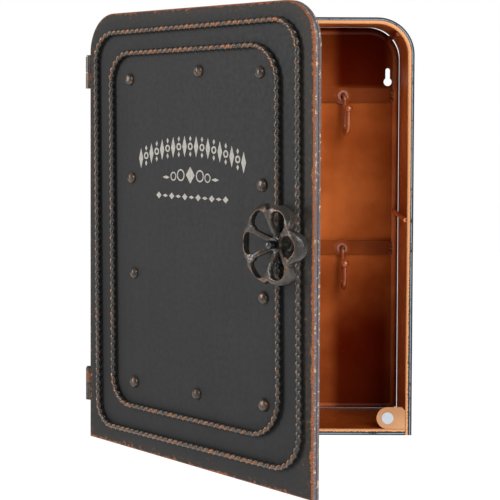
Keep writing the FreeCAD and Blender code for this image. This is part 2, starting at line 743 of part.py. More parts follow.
def flat_ring(x, z, outer, inner, face_y):
    """Thin ring on the door's face."""
    thickness = size("ornament_thickness")
    ring = Part.makeCylinder(outer, thickness, Vector(x, face_y, z), Vector(0, -1, 0))
    return ring.cut(Part.makeCylinder(inner, thickness, Vector(x, face_y, z), Vector(0, -1, 0)))


def lozenge(x, z, half, tall, face_y):
    """Thin upright lozenge on the door's face."""
    return flat_prism([(x - half, z), (x, z - tall), (x + half, z), (x, z + tall)], face_y)


def make_ornament():
    """Printed ornament: an arch of lozenges and rings, a spray of rings and a row of dashes."""
    face_y = DOOR_FACE - size("slip")
    middle = 132.0 - HALF_WIDTH
    arch_radius, arch_level = 184.8, 60.0
    plates = []
    for index in range(-9, 10):
        angle = math.radians(90 - index * 2.16)
        x = middle + arch_radius * math.cos(angle)
        z = arch_level + arch_radius * math.sin(angle)
        if index % 2:
            plates.append(lozenge(x, z, 2.6, 8.0, face_y))
        else:
            plates.append(flat_ring(x, z, 2.9, 1.5, face_y))
            plates.append(lozenge(x, z + 5.9, 1.4, 2.2, face_y))
            plates.append(lozenge(x, z - 5.9, 1.4, 2.2, face_y))
    for sign in (-1, 1):
        plates.append(flat_ring(middle + sign * 11.5, 222.6, 4.6, 3.5, face_y))
        plates.append(flat_ring(middle + sign * 20.5, 221.4, 3.5, 2.5, face_y))
        plates.append(lozenge(middle + sign * 29.5, 220.4, 4.4, 1.3, face_y))
    plates.append(lozenge(middle, 223.0, 5.2, 6.4, face_y))
    for index in range(-5, 6):
        tall = 2.6 if index % 2 else 1.3
        plates.append(lozenge(middle + 1.5 + index * 8, 206.2, 3.2, tall, face_y))
    shaped("door_ornament", Part.makeCompound(plates), on_door=True)


# ---------------------------------------------------------------- handwheel

def make_wheel_base():
    """Boss on the door's face that the wheel stands off on."""
    foot = size("door_front") + size("slip")
    top, radius, bore = size("base_top"), size("base_radius"), size("bolt_radius") + 0.1
    outline = Part.makePolygon([
        Vector(bore, 0, foot), Vector(radius, 0, foot), Vector(radius, 0, foot + 1.6),
        Vector(radius - 1.2, 0, foot + 2.6), Vector(radius - 1.2, 0, top), Vector(bore, 0, top),
        Vector(bore, 0, foot)])
    shape = Part.Face(outline).revolve(Vector(), Vector(0, 0, 1), 360)
    shape.Placement = WHEEL_SEAT
    shaped("wheel_base", shape, on_door=True)


def make_wheel_bolt():
    """Dome-headed bolt through the wheel and the door, with a washer and a nut."""
    shank = Part.makeCylinder(size("bolt_radius"),
                              size("washer_bottom") + size("washer_thickness") - size("bolt_end"),
                              Vector(0, 0, size("bolt_end")))
    seat = size("washer_bottom") + size("washer_thickness")
    foot, rise, cap = size("bolt_head_radius"), size("bolt_head_rise"), size("bolt_cap")
    dome = (foot ** 2 + cap ** 2) / (2 * cap)
    ball = Part.makeSphere(dome, Vector(0, 0, seat + rise - dome))
    head = ball.common(Part.makeCylinder(foot, rise, Vector(0, 0, seat)))
    bolt = shank.fuse(head).removeSplitter()
    bolt.Placement = WHEEL_SEAT
    shaped("wheel_bolt", bolt, on_door=True)
    ring = Part.makeCylinder(size("washer_radius"), size("washer_thickness") - size("slip"),
                             Vector(0, 0, size("washer_bottom")))
    hole = Part.makeCylinder(size("bolt_radius") + 0.1, 2, Vector(0, 0, size("washer_bottom") - 0.5))
    washer = ring.cut(hole)
    washer.Placement = WHEEL_SEAT
    shaped("bolt_washer", washer, on_door=True)
    across = size("nut_flats") / math.sqrt(3)
    corners = [Vector(across * math.cos(math.radians(60 * k)), across * math.sin(math.radians(60 * k)), 0)
               for k in range(7)]
    under_skin = size("door_front") - size("skin") - size("slip")
    nut = Part.Face(Part.makePolygon(corners)).extrude(Vector(0, 0, size("nut_thickness")))
    nut = nut.cut(Part.makeCylinder(size("bolt_radius") + size("slip"), 10, Vector(0, 0, -1)))
    nut.Placement = WHEEL_SEAT.multiply(
        Placement(Vector(0, 0, under_skin - size("nut_thickness")), Rotation()))
    shaped("bolt_nut", nut, on_door=True)


def petal_band(petal, height):
    """One rounded petal of the wheel's rim, as an upright band between two spoke ends."""
    ring, half = size("spoke_ring"), size("petal_width") / 2
    turn = 360 / PETALS * petal
    first = Rotation(Vector(0, 0, 1), turn - 180 / PETALS).multVec(Vector(ring, 0, 0))
    last = Rotation(Vector(0, 0, 1), turn + 180 / PETALS).multVec(Vector(ring, 0, 0))
    tip = Rotation(Vector(0, 0, 1), turn).multVec(Vector(size("petal_tip"), 0, 0))
    circle = Part.Arc(first, tip, last).toShape().Curve
    wide = Part.makeCylinder(circle.Radius + half, height, circle.Center)
    band = wide.cut(Part.makeCylinder(circle.Radius - half, height, circle.Center))
    inner = ring * math.cos(math.radians(180 / PETALS))
    beyond = Part.makeBox(60, 60, height, Vector(inner, -30, 0))
    beyond.rotate(Vector(), Vector(0, 0, 1), turn)
    return band.common(beyond)


def make_handwheel():
    """Cast wheel: a hub, six arched spokes and a rim of six rounded petals."""
    height, ring = 40.0, size("spoke_ring")
    plan = [Part.makeCylinder(size("hub_radius"), height)]
    for petal in range(PETALS):
        turn = 360 / PETALS * petal + 180 / PETALS
        spoke = Part.makeBox(ring, size("spoke_width"), height,
                             Vector(0, -size("spoke_width") / 2, 0))
        spoke.rotate(Vector(), Vector(0, 0, 1), turn)
        end = Rotation(Vector(0, 0, 1), turn).multVec(Vector(ring, 0, 0))
        plan += [spoke, Part.makeCylinder(size("spoke_end_radius"), height, end),
                 petal_band(petal, height)]
    prism = plan[0].multiFuse(plan[1:]).removeSplitter()
    bore = size("bolt_radius") + size("bolt_clearance")
    outline = [(bore, size("hub_bottom")), (bore, size("hub_top"))] + WHEEL_FRONT + WHEEL_REAR
    section = Part.makePolygon([Vector(x, 0, z) for x, z in outline + outline[:1]])
    dish = Part.Face(section).revolve(Vector(), Vector(0, 0, 1), 360)
    wheel = prism.common(dish)
    wheel.Placement = WHEEL_SEAT
    shaped("handwheel", wheel, on_door=True)


# ---------------------------------------------------------------- build and write

def check_document():
    """Stop if any object failed or any piece has no valid solid."""
    for item in doc.Objects:
        if "Invalid" in item.State or "Error" in item.State:
            raise RuntimeError(f"{item.Name} failed: {item.State}")
    for item in nodes:
        shape = item.Shape
        if shape.isNull() or not shape.isValid() or not shape.Solids:
            raise RuntimeError(f"{item.Label} has no valid solid")


def write_parts():
    """Write each piece to its own STEP file."""
    os.makedirs("parts", exist_ok=True)
    for item in nodes:
        item.Shape.exportStep(f"parts/{item.Label}.step")
        bounds = item.Shape.BoundBox
        print(f"{item.Label:22s} solids {len(item.Shape.Solids):2d} "
              f"volume {item.Shape.Volume:10.1f} "
              f"x {bounds.XMin:7.1f} {bounds.XMax:7.1f} "
              f"y {bounds.YMin:7.1f} {bounds.YMax:7.1f} "
              f"z {bounds.ZMin:6.1f} {bounds.ZMax:6.1f}")


def main():
    """Make every piece, check the document and write the files."""
    for maker in (make_case_wrap, make_case_floor, make_back_panel, make_back_frame, make_braces,
                  make_rails, make_hooks, make_rosettes, make_catch, make_case_hinges,
                  make_door_hinges, make_door_skin, make_door_liner, make_ropes, make_rivets,
                  make_ornament, make_wheel_base, make_wheel_bolt, make_handwheel):
        maker()
    doc.recompute()
    check_document()
    write_parts()


main()
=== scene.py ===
"""Looks of a wall key cabinet styled as an old safe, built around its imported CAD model.

Everything is in metres in the row frame: the origin is the middle of the face on the wall,
+X is to the right seen from the front, +Y points into the wall and +Z is up. Pieces of the door
are placed through DoorSheet, which knows how far the door stands open at rest.
"""

import json
import logging
import math
from dataclasses import dataclass, field
from enum import Enum
from typing import Any, Iterable, Optional, Sequence, Union

import bmesh
import bpy
from mathutils import Matrix, Vector, noise


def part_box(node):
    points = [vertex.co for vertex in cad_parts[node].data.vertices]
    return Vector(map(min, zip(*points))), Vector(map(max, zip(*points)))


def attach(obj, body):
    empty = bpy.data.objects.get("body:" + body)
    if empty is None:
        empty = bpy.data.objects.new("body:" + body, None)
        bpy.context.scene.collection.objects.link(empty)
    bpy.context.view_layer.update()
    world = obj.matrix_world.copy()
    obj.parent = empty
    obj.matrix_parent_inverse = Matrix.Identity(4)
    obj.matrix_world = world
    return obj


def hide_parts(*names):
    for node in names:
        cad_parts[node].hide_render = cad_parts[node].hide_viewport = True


MM = 0.001
LOG = logging.getLogger("key_cabinet")

# Sizes that several pieces share, in millimetres and degrees.
CASE_WIDTH = 266.4
CASE_HEIGHT = 350.0
CASE_CORNER = 31.0
DOOR_THICKNESS = 7.6
WELD_GAP = 0.03
TRIM_LEAN = 0.8

Socket = bpy.types.NodeSocket
Value = Union[float, Sequence[float], Socket]

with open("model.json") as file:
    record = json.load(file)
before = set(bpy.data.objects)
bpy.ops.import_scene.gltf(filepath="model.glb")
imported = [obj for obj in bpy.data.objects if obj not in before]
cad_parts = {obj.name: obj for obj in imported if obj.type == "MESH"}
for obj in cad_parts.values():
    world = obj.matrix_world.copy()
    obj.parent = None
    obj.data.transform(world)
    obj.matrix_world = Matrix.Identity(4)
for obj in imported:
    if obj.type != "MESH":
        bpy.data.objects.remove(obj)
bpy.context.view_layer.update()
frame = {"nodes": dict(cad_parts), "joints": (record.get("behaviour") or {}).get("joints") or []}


# ------------------------------------------------------------------ where things are

class Body(str, Enum):
    """Rigid bodies of the CAD model."""

    CASE = "case"
    DOOR = "door"
    WHEEL = "handwheel"


def joint_named(name: str) -> dict[str, Any]:
    """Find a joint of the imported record.

    Args:
        name: The joint's name.

    Returns:
        The joint as the record states it.
    """
    return next(joint for joint in frame["joints"] if joint["name"] == name)


@dataclass(frozen=True)
class DoorSheet:
    """Places on the door: along its width, up from the case's base, and out of its back.

    Attributes:
        opening: Angle between the closed and the resting door, in radians.
        axis: A point on the hinge axis.
        corner: The closed door's corner at the hinge edge, at the base and on the case's rim.
    """

    opening: float
    axis: Vector
    corner: Vector

    @classmethod
    def from_frame(cls) -> "DoorSheet":
        """Read the door's place from the joint and from the case."""
        swing = joint_named("door_swing")
        low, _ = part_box("case_wrap")
        return cls(math.radians(-swing["range_deg"][0]), Vector(swing["pos_m"]),
                   Vector((low.x, low.y, low.z)))

    @property
    def turn(self) -> Matrix:
        """Rotation from the closed door to the resting door."""
        return Matrix.Rotation(-self.opening, 4, "Z")

    @property
    def matrix(self) -> Matrix:
        """Transform from door places (along, inward, up) to the row frame."""
        about = Matrix.Translation(self.axis) @ self.turn @ Matrix.Translation(-self.axis)
        return about @ Matrix.Translation(self.corner)

    def at(self, along: float, up: float, out: float) -> Vector:
        """Row-frame point of a place on the door, all three in millimetres."""
        return self.matrix @ Vector((along * MM, -out * MM, up * MM))


DOOR = DoorSheet.from_frame()


# ------------------------------------------------------------------ shader building

class Wiring:
    """Short ways to add nodes to a tree and to join them."""

    def __init__(self, tree: bpy.types.NodeTree) -> None:
        """Take charge of a tree.

        Args:
            tree: The node tree to add to.
        """
        self.tree = tree

    def feed(self, socket: Socket, value: Value) -> None:
        """Link a socket to another one, or set it to a number, a vector or a colour.

        Args:
            socket: The socket to feed.
            value: Another socket, a number, or the parts of a vector or colour.
        """
        if isinstance(value, bpy.types.NodeSocket):
            self.tree.links.new(value, socket)
        elif isinstance(value, (int, float)):
            socket.default_value = value
        else:
            wanted = len(socket.default_value)
            socket.default_value = (*value, 1.0)[:wanted]

    def add(self, kind: str, settings: Optional[dict[str, Any]] = None,
            **inputs: Value) -> bpy.types.Node:
        """Add a node.

        Args:
            kind: The node's type.
            settings: Properties of the node.
            inputs: Values by input name, with spaces written as underscores.

        Returns:
            The new node.
        """
        node = self.tree.nodes.new(kind)
        for key, value in (settings or {}).items():
            setattr(node, key, value)
        for key, value in inputs.items():
            socket = next(item for item in node.inputs
                          if item.name == key.replace("_", " ") and item.enabled)
            self.feed(socket, value)
        return node

    def math(self, operation: str, first: Value, second: Value = 0.0) -> Socket:
        """Work out one arithmetic step.

        Args:
            operation: The operation's name.
            first: The first number.
            second: The second number, where the operation takes one.

        Returns:
            The socket of the result.
        """
        node = self.tree.nodes.new("ShaderNodeMath")
        node.operation = operation
        self.feed(node.inputs[0], first)
        self.feed(node.inputs[1], second)
        return node.outputs[0]


class Paint(Wiring):
    """A material under construction."""

    def __init__(self, name: str) -> None:
        """Start an empty material.

        Args:
            name: Name of the material.
        """
        self.material = bpy.data.materials.new(name)
        self.material.use_nodes = True
        super().__init__(self.material.node_tree)
        self.tree.nodes.clear()
        self.output = self.tree.nodes.new("ShaderNodeOutputMaterial")
        self.surface = self.tree.nodes.new("ShaderNodeBsdfPrincipled")
        self.tree.links.new(self.surface.outputs[0], self.output.inputs[0])

    def step(self, value: Value, low: float, high: float, start: float = 0.0,
             end: float = 1.0) -> Socket:
        """Map a value smoothly from one range to another, held at both ends.

        Args:
            value: The value to map.
            low: Value at which the result is the start.
            high: Value at which the result is the end. It may be less than low.
            start: The result's first end.
            end: The result's other end.

        Returns:
            The mapped value.
        """
        node = self.add("ShaderNodeMapRange", {"interpolation_type": "SMOOTHSTEP"})
        for index, number in enumerate((value, low, high, start, end)):
            self.feed(node.inputs[index], number)
        return node.outputs[0]

    def mix(self, factor: Value, first: Value, second: Value) -> Socket:
        """Blend two colours.

        Args:
            factor: Share of the second colour.
            first: The first colour.
            second: The second colour.

        Returns:
            The blended colour.
        """
        node = self.tree.nodes.new("ShaderNodeMix")
        node.data_type = "RGBA"
        self.feed(node.inputs[0], factor)
        self.feed(node.inputs[6], first)
        self.feed(node.inputs[7], second)
        return node.outputs[2]

    def place(self, matrix: Optional[Matrix] = None,
              stretch: Sequence[float] = (1.0, 1.0, 1.0)) -> Socket:
        """Object coordinates in millimetres, seen in another frame and then stretched.

        Args:
            matrix: Transform from that frame to the row frame.
            stretch: Scale along each axis after the transform.

        Returns:
            The vector socket.
        """
        vector = self.add("ShaderNodeTexCoord").outputs["Object"]
        if matrix is not None:
            inverse = matrix.inverted()
            vector = self.add("ShaderNodeMapping", Vector=vector, Location=inverse.translation,
                              Rotation=inverse.to_euler()).outputs[0]
        scale = [part / MM for part in stretch]
        return self.add("ShaderNodeMapping", Vector=vector, Scale=scale).outputs[0]

    def noise(self, vector: Socket, period: float, detail: float = 3.0,
              roughness: float = 0.55) -> Socket:
        """Noise from 0 to 1.

        Args:
            vector: Where the noise is read, in millimetres.
            period: Width of its features, in millimetres.
            detail: Number of finer layers.
            roughness: Strength of the finer layers.

        Returns:
            The noise.
        """
        node = self.add("ShaderNodeTexNoise", Vector=vector, Scale=1.0 / period, Detail=detail,
                        Roughness=roughness)
        return node.outputs[0]

    def split(self, vector: Socket) -> tuple[Socket, Socket, Socket]:
        """Take a vector apart into its three parts."""
        node = self.add("ShaderNodeSeparateXYZ", Vector=vector)
        return node.outputs[0], node.outputs[1], node.outputs[2]

    def inset(self, across: Value, up: Value, width: float, height: float, radius: float,
              bottom: float = 0.0) -> Socket:
        """Distance in from the outline of an upright plate with round upper corners.

        Args:
            across: Distance from the plate's upright middle line.
            up: Height above the base.
            width: Width of the plate.
            height: Height of the plate's top.
            radius: Radius of the upper corners.
            bottom: Height of its lower edge.

        Returns:
            The distance, positive inside the plate.
        """
        side = self.math("SUBTRACT", self.math("ABSOLUTE", across), width / 2 - radius)
        top = self.math("SUBTRACT", up, height - radius)
        side_out = self.math("MAXIMUM", side, 0.0)
        top_out = self.math("MAXIMUM", top, 0.0)
        corner = self.math("SQRT", self.math("ADD", self.math("MULTIPLY", side_out, side_out),
                                             self.math("MULTIPLY", top_out, top_out)))
        inner = self.math("MINIMUM", self.math("MAXIMUM", side, top), 0.0)
        arch = self.math("SUBTRACT", radius, self.math("ADD", corner, inner))
        return self.math("MINIMUM", arch, self.math("SUBTRACT", up, bottom))

    def bump(self, height: Value, depth: float, normal: Optional[Socket] = None) -> Socket:
        """Turn a height from 0 to 1 into a normal.

        Args:
            height: The height.
            depth: Depth of the relief, in millimetres.
            normal: A normal to add to.

        Returns:
            The normal.
        """
        node = self.add("ShaderNodeBump", Height=height, Distance=depth * MM)
        if normal is not None:
            self.feed(node.inputs["Normal"], normal)
        return node.outputs[0]

    def finish(self, colour: Value, roughness: Value, metallic: Value = 0.0,
               normal: Optional[Socket] = None, coat: float = 0.0,
               coat_roughness: float = 0.2, shine: float = 0.5) -> bpy.types.Material:
        """Set the surface.

        Args:
            colour: Base colour.
            roughness: Roughness.
            metallic: Share of metal.
            normal: Normal, if the surface has relief.
            coat: Weight of the clear coat.
            coat_roughness: Roughness of the clear coat.
            shine: Strength of the mirror-like reflection.

        Returns:
            The finished material.
        """
        self.surface.inputs["Specular IOR Level"].default_value = shine
        self.feed(self.surface.inputs["Base Color"], colour)
        self.feed(self.surface.inputs["Roughness"], roughness)
        self.feed(self.surface.inputs["Metallic"], metallic)
        self.surface.inputs["Coat Weight"].default_value = coat
        self.surface.inputs["Coat Roughness"].default_value = coat_roughness
        if normal is not None:
            self.feed(self.surface.inputs["Normal"], normal)
        return self.material


def srgb(code: str) -> tuple[float, float, float]:
    """Linear colour of a hex code.

    Args:
        code: Six hex digits.

    Returns:
        Red, green and blue in linear light.
    """
    parts = [int(code[index:index + 2], 16) / 255 for index in (0, 2, 4)]
    red, green, blue = (part / 12.92 if part <= 0.04045 else ((part + 0.055) / 1.055) ** 2.4
                        for part in parts)
    return red, green, blue


# ------------------------------------------------------------------ finishes

@dataclass(frozen=True)
class DoorBlack:
    """Charcoal paint on the door, rubbed through to a coppery coat along its edges.

    Attributes:
        bottom: Height of the door's lower edge over the case's base.
        patina_along: Where along the door the patina of its free edge starts and is full.
        patina_inset: Distances from the outline at which the patina starts and is full.
        blotch_levels: Heights at which the wear starts to turn to blotches and is all blotches.
        wear_reach: Reach of the wear from the outline above, and what blotches add to it.
        free_edge: Where along the door the wear keeps to patches only, and where it doesn't yet.
        chip_inset: Distances from the outline at which chips start and are most.
        flange_depth: Heights over the door's back at which the edge's grey starts and is full.
        flange_inset: Distances from the outline at which the grey starts and is full.
        hem_upper: Heights at which the dark hem's upper side starts and is full.
        hem_lower: Heights at which the dark hem's lower side starts and is full.

    All lengths are in millimetres.
    """

    bottom: float = 0.6
    patina_along: tuple[float, float] = (246.0, 262.0)
    patina_inset: tuple[float, float] = (9.0, 2.0)
    blotch_levels: tuple[float, float] = (90.0, 20.0)
    wear_reach: tuple[float, float] = (2.1, 2.2)
    free_edge: tuple[float, float] = (258.0, 240.0)
    chip_inset: tuple[float, float] = (26.0, 2.0)
    flange_depth: tuple[float, float] = (6.3, 5.6)
    flange_inset: tuple[float, float] = (2.4, 1.6)
    hem_upper: tuple[float, float] = (3.6, 3.3)
    hem_lower: tuple[float, float] = (2.3, 2.7)

    def make(self) -> bpy.types.Material:
        """Build the finish in door places, so the wear follows the door's outline."""
        paint = Paint("door_black")
        spot = paint.place(DOOR.matrix)
        along, inward, up = paint.split(spot)
        across = paint.math("SUBTRACT", along, CASE_WIDTH / 2)
        inset = paint.inset(across, up, CASE_WIDTH, CASE_HEIGHT, CASE_CORNER, self.bottom)
        streaks = paint.noise(paint.place(DOOR.matrix, (1.0, 1.0, 0.05)), 4.0, 4.0, 0.6)
        clouds = paint.noise(spot, 60.0, 3.0)
        fine = paint.noise(spot, 0.9, 4.0, 0.65)
        blots = paint.noise(spot, 3.6, 5.0, 0.7)
        patches = paint.noise(spot, 16.0, 3.0, 0.5)
        colour = paint.mix(streaks, srgb("171717"), srgb("222222"))
        colour = paint.mix(paint.step(clouds, 0.35, 0.7, 0.0, 0.4), colour, srgb("232323"))
        colour = paint.mix(paint.step(fine, 0.2, 0.5, 0.5, 0.0), colour, srgb("181818"))
        # Olive patina towards the free edge and along the top.
        band = paint.math("MAXIMUM", paint.step(along, *self.patina_along),
                          paint.step(inset, *self.patina_inset))
        patina = paint.math("MULTIPLY", band, paint.step(blots, 0.44, 0.62))
        colour = paint.mix(paint.math("MULTIPLY", patina, 0.6), colour, srgb("3d3020"))
        # Coppery wear on the rim of the face: ragged above, in blotches below.
        ragged = paint.step(blots, 0.42, 0.72)
        lower = paint.step(up, *self.blotch_levels)
        least, more = self.wear_reach
        reach = paint.math("ADD", least, paint.math("MULTIPLY", lower, more))
        reach = paint.math("MULTIPLY", ragged, reach)
        reach = paint.math("MULTIPLY", reach, paint.step(patches, 0.36, 0.56, 0.25, 1.0))
        bare = paint.math("MAXIMUM", paint.step(patches, 0.5, 0.62),
                          paint.step(along, *self.free_edge))
        reach = paint.math("MULTIPLY", reach, bare)
        worn = paint.step(paint.math("SUBTRACT", inset, reach), 1.2, 0.5)
        chips = paint.math("MULTIPLY", paint.step(fine, 0.58, 0.63),
                           paint.step(inset, *self.chip_inset))
        chips = paint.math("MULTIPLY", chips, paint.step(blots, 0.6, 0.66))
        worn = paint.math("MAXIMUM", worn, paint.math("MULTIPLY", chips, 0.8))
        copper = paint.mix(paint.step(fine, 0.3, 0.7), srgb("4a2c1c"), srgb("96552f"))
        colour = paint.mix(worn, colour, copper)
        # The edge is rubbed grey with pale and orange spots, and has a dark hem.
        depth = paint.math("MULTIPLY", inward, -1.0)
        edge = paint.step(inset, *self.flange_inset)
        flange = paint.math("MULTIPLY", paint.step(depth, *self.flange_depth), edge)
        grey = paint.mix(streaks, srgb("3a3f45"), srgb("6a737d"))
        colour = paint.mix(paint.math("MULTIPLY", flange, paint.step(blots, 0.3, 0.62, 0.35, 0.95)),
                           colour, grey)
        pale = paint.math("MULTIPLY", flange, paint.step(blots, 0.56, 0.63))
        colour = paint.mix(paint.math("MULTIPLY", pale, 0.85), colour,
                           paint.mix(paint.step(fine, 0.35, 0.65), srgb("a5622f"), srgb("dcb98c")))
        hem = paint.math("MULTIPLY", paint.step(depth, *self.hem_upper),
                         paint.step(depth, *self.hem_lower))
        hem = paint.math("MULTIPLY", hem, edge)
        colour = paint.mix(paint.math("MULTIPLY", hem, 0.75), colour, srgb("17181a"))
        rough = paint.step(blots, 0.3, 0.7, 0.5, 0.66)
        normal = paint.bump(fine, 0.04)
        normal = paint.bump(clouds, 0.4, normal)
        return paint.finish(colour, rough, 0.0, normal, shine=0.2)


@dataclass(frozen=True)
class CopperBrown:
    """Satin brown paint inside the case, cloudy and lighter where it is rubbed.

    Attributes:
        name: Name of the material.
        deep: Darker colour.
        light: Lighter colour.
        gloss: Weight of the clear coat.
        painted_shade: Whether painted shade darkens the paint under the top and towards the floor,
            and the face on the wall is left black.
        shine: Strength of the mirror-like reflection.
        shade_top: Heights at which the painted shade under the top starts and is full, in mm.
        shade_low: Heights at which the painted shade towards the floor starts and is full, in mm.
        shade_period: Width of the waves in the edge of the lower painted shade, in mm.
        shade_waves: Height of those waves, in mm.
        shade_middle: Where the painted shade is darkest, in mm to the right of the middle.
        shade_reach: Distances from there at which the painted shade starts and is full, in mm.
        wall_face: Depths between which the face on the wall starts, in mm.
    """

    name: str = "copper_brown"
    deep: str = "5e2c12"
    light: str = "96502a"
    gloss: float = 0.25
    painted_shade: bool = False
    shine: float = 0.2
    shade_top: tuple[float, float] = (112.0, 122.0)
    shade_low: tuple[float, float] = (-5.0, -110.0)
    shade_period: float = 90.0
    shade_waves: float = 50.0
    shade_middle: float = 97.0
    shade_reach: tuple[float, float] = (30.0, 18.0)
    wall_face: tuple[float, float] = (-0.5, -0.3)

    def make(self) -> bpy.types.Material:
        """Build the finish on row-frame coordinates."""
        paint = Paint(self.name)
        spot = paint.place()
        clouds = paint.noise(spot, 45.0, 3.0)
        fine = paint.noise(spot, 1.2, 4.0, 0.65)
        blots = paint.noise(spot, 6.0, 5.0, 0.7)
        colour = paint.mix(paint.step(clouds, 0.3, 0.7), srgb(self.deep), srgb(self.light))
        # Painted shade under the top and towards the floor, where it is asked for.
        if self.painted_shade:
            colour = self.add_painted_shade(paint, colour)
        specks = paint.math("MULTIPLY", paint.step(fine, 0.62, 0.7), paint.step(blots, 0.5, 0.6))
        colour = paint.mix(paint.math("MULTIPLY", specks, 0.35), colour, srgb("b8703f"))
        rough = paint.step(blots, 0.3, 0.7, 0.3, 0.42)
        normal = paint.bump(fine, 0.03)
        return paint.finish(colour, rough, 0.0, normal, self.gloss, 0.25, self.shine)

    def add_painted_shade(self, paint: Paint, colour: Socket) -> Socket:
        """Darken the paint with painted shade under the top and towards the floor, and leave the
        face on the wall black.

        Args:
            paint: The material under construction.
            colour: The paint's colour.

        Returns:
            The colour, darker under the top and towards the floor.
        """
        across, inward, up = paint.split(paint.place())
        # Painted shade: dark under the top and towards the floor, with a wavy lower edge, at full
        # strength in a band right of the middle and about half elsewhere.
        wave = paint.math("SUBTRACT", paint.noise(paint.place(), self.shade_period), 0.5)
        level = paint.math("ADD", up, paint.math("MULTIPLY", wave, self.shade_waves))
        top = paint.step(up, *self.shade_top)
        low = paint.step(level, *self.shade_low)
        shade = paint.math("MAXIMUM", paint.math("MULTIPLY", top, 0.92),
                           paint.math("MULTIPLY", low, 0.9))
        away = paint.math("ABSOLUTE", paint.math("SUBTRACT", across, self.shade_middle))
        middle = paint.step(away, *self.shade_reach, 0.45, 1.0)
        colour = paint.mix(paint.math("MULTIPLY", shade, middle), colour, srgb("4a0200"))
        return paint.mix(paint.step(inward, *self.wall_face), colour, srgb("161616"))


@dataclass(frozen=True)
class RimPaint:
    """Black outside and coppery inside, changing over along the front rim and at the rear.

    Attributes:
        name: Name of the material.
        bottom: Height of the lower edge, in mm above the base.
        deep: Darker colour of the inside.
        light: Lighter colour of the inside.
        change_levels: Heights at which the change-over starts to move in and has moved in.
        change_inset: Its distance from the outline above and below.
        ragged_levels: Heights at which its line starts to get ragged and is most ragged.
        ragged_reach: How ragged it is above and below.
        behind_rim: Depths at which the inside behind the rim starts and is full.
        wall_inset: Distances from the outline at which that inside starts and is full.
        rear_hem: Depths at which the rear edge stops being black.
        highlight_outer: Distances from the outline at which the painted highlight along the round
            of the rim starts and is full.
        highlight_inner: The same for the painted highlight's inner side.
        lip_highlight: Depths at which the painted highlight on the rim's forward-facing lip starts
            and is full.

    All lengths are in millimetres.
    """

    name: str
    bottom: float
    deep: str = "77340f"
    light: str = "904517"
    change_levels: tuple[float, float] = (220.0, 60.0)
    change_inset: tuple[float, float] = (2.7, 3.5)
    ragged_levels: tuple[float, float] = (220.0, 120.0)
    ragged_reach: tuple[float, float] = (0.8, 3.4)
    behind_rim: tuple[float, float] = (-86.5, -85.5)
    wall_inset: tuple[float, float] = (1.8, 2.2)
    rear_hem: tuple[float, float] = (-0.4, -0.8)
    highlight_outer: tuple[float, float] = (1.2, 1.6)
    highlight_inner: tuple[float, float] = (2.3, 1.9)
    lip_highlight: tuple[float, float] = (-86.0, -88.2)

    def make(self) -> bpy.types.Material:
        """Build the finish from the distance in from the case's outline."""
        paint = Paint(self.name)
        spot = paint.place(Matrix.Translation((0.0, 0.0, -CASE_HEIGHT * MM / 2)))
        across, inward, up = paint.split(spot)
        inset = paint.inset(across, up, CASE_WIDTH, CASE_HEIGHT, CASE_CORNER, self.bottom)
        fine = paint.noise(spot, 1.3, 4.0, 0.65)
        blots = paint.noise(spot, 7.0, 5.0, 0.7)
        clouds = paint.noise(spot, 45.0, 3.0)
        change = paint.step(up, *self.change_levels, *self.change_inset)
        ragged = paint.math("MULTIPLY", paint.math("SUBTRACT", fine, 0.5),
                            paint.step(up, *self.ragged_levels, *self.ragged_reach))
        edge = paint.math("SUBTRACT", paint.math("ADD", inset, ragged), change)
        inside = paint.step(edge, -0.2, 0.2)
        behind = paint.math("MULTIPLY", paint.step(inward, *self.behind_rim),
                            paint.step(inset, *self.wall_inset))
        inside = paint.math("MAXIMUM", inside, behind)
        inside = paint.math("MULTIPLY", inside, paint.step(inward, *self.rear_hem))
        black = paint.mix(fine, srgb("0d0d0e"), srgb("1d1e20"))
        # Painted highlight: a broken pale blue-grey line along the round of the rim, where it would
        # catch the light.
        line = paint.math("MULTIPLY", paint.step(inset, *self.highlight_outer),
                          paint.step(inset, *self.highlight_inner))
        line = paint.math("MULTIPLY", line, paint.step(blots, 0.32, 0.5))
        black = paint.mix(paint.math("MULTIPLY", line, 0.8), black, srgb("8e9caa"))
        copper = paint.mix(paint.step(clouds, 0.3, 0.7), srgb(self.deep), srgb(self.light))
        # Painted highlight: the copper paint on the rim's forward face is made paler, where that
        # face catches the light.
        lip_highlight = paint.step(inward, *self.lip_highlight)
        copper = paint.mix(lip_highlight, copper, paint.mix(fine, srgb("b5703c"), srgb("e0a878")))
        copper = paint.mix(paint.math("MULTIPLY", paint.step(fine, 0.62, 0.7), 0.4), copper,
                           srgb("d39a70"))
        colour = paint.mix(inside, black, copper)
        rough = paint.step(blots, 0.3, 0.7, 0.3, 0.45)
        normal = paint.bump(fine, 0.03)
        return paint.finish(colour, rough, 0.0, normal, shine=0.25)


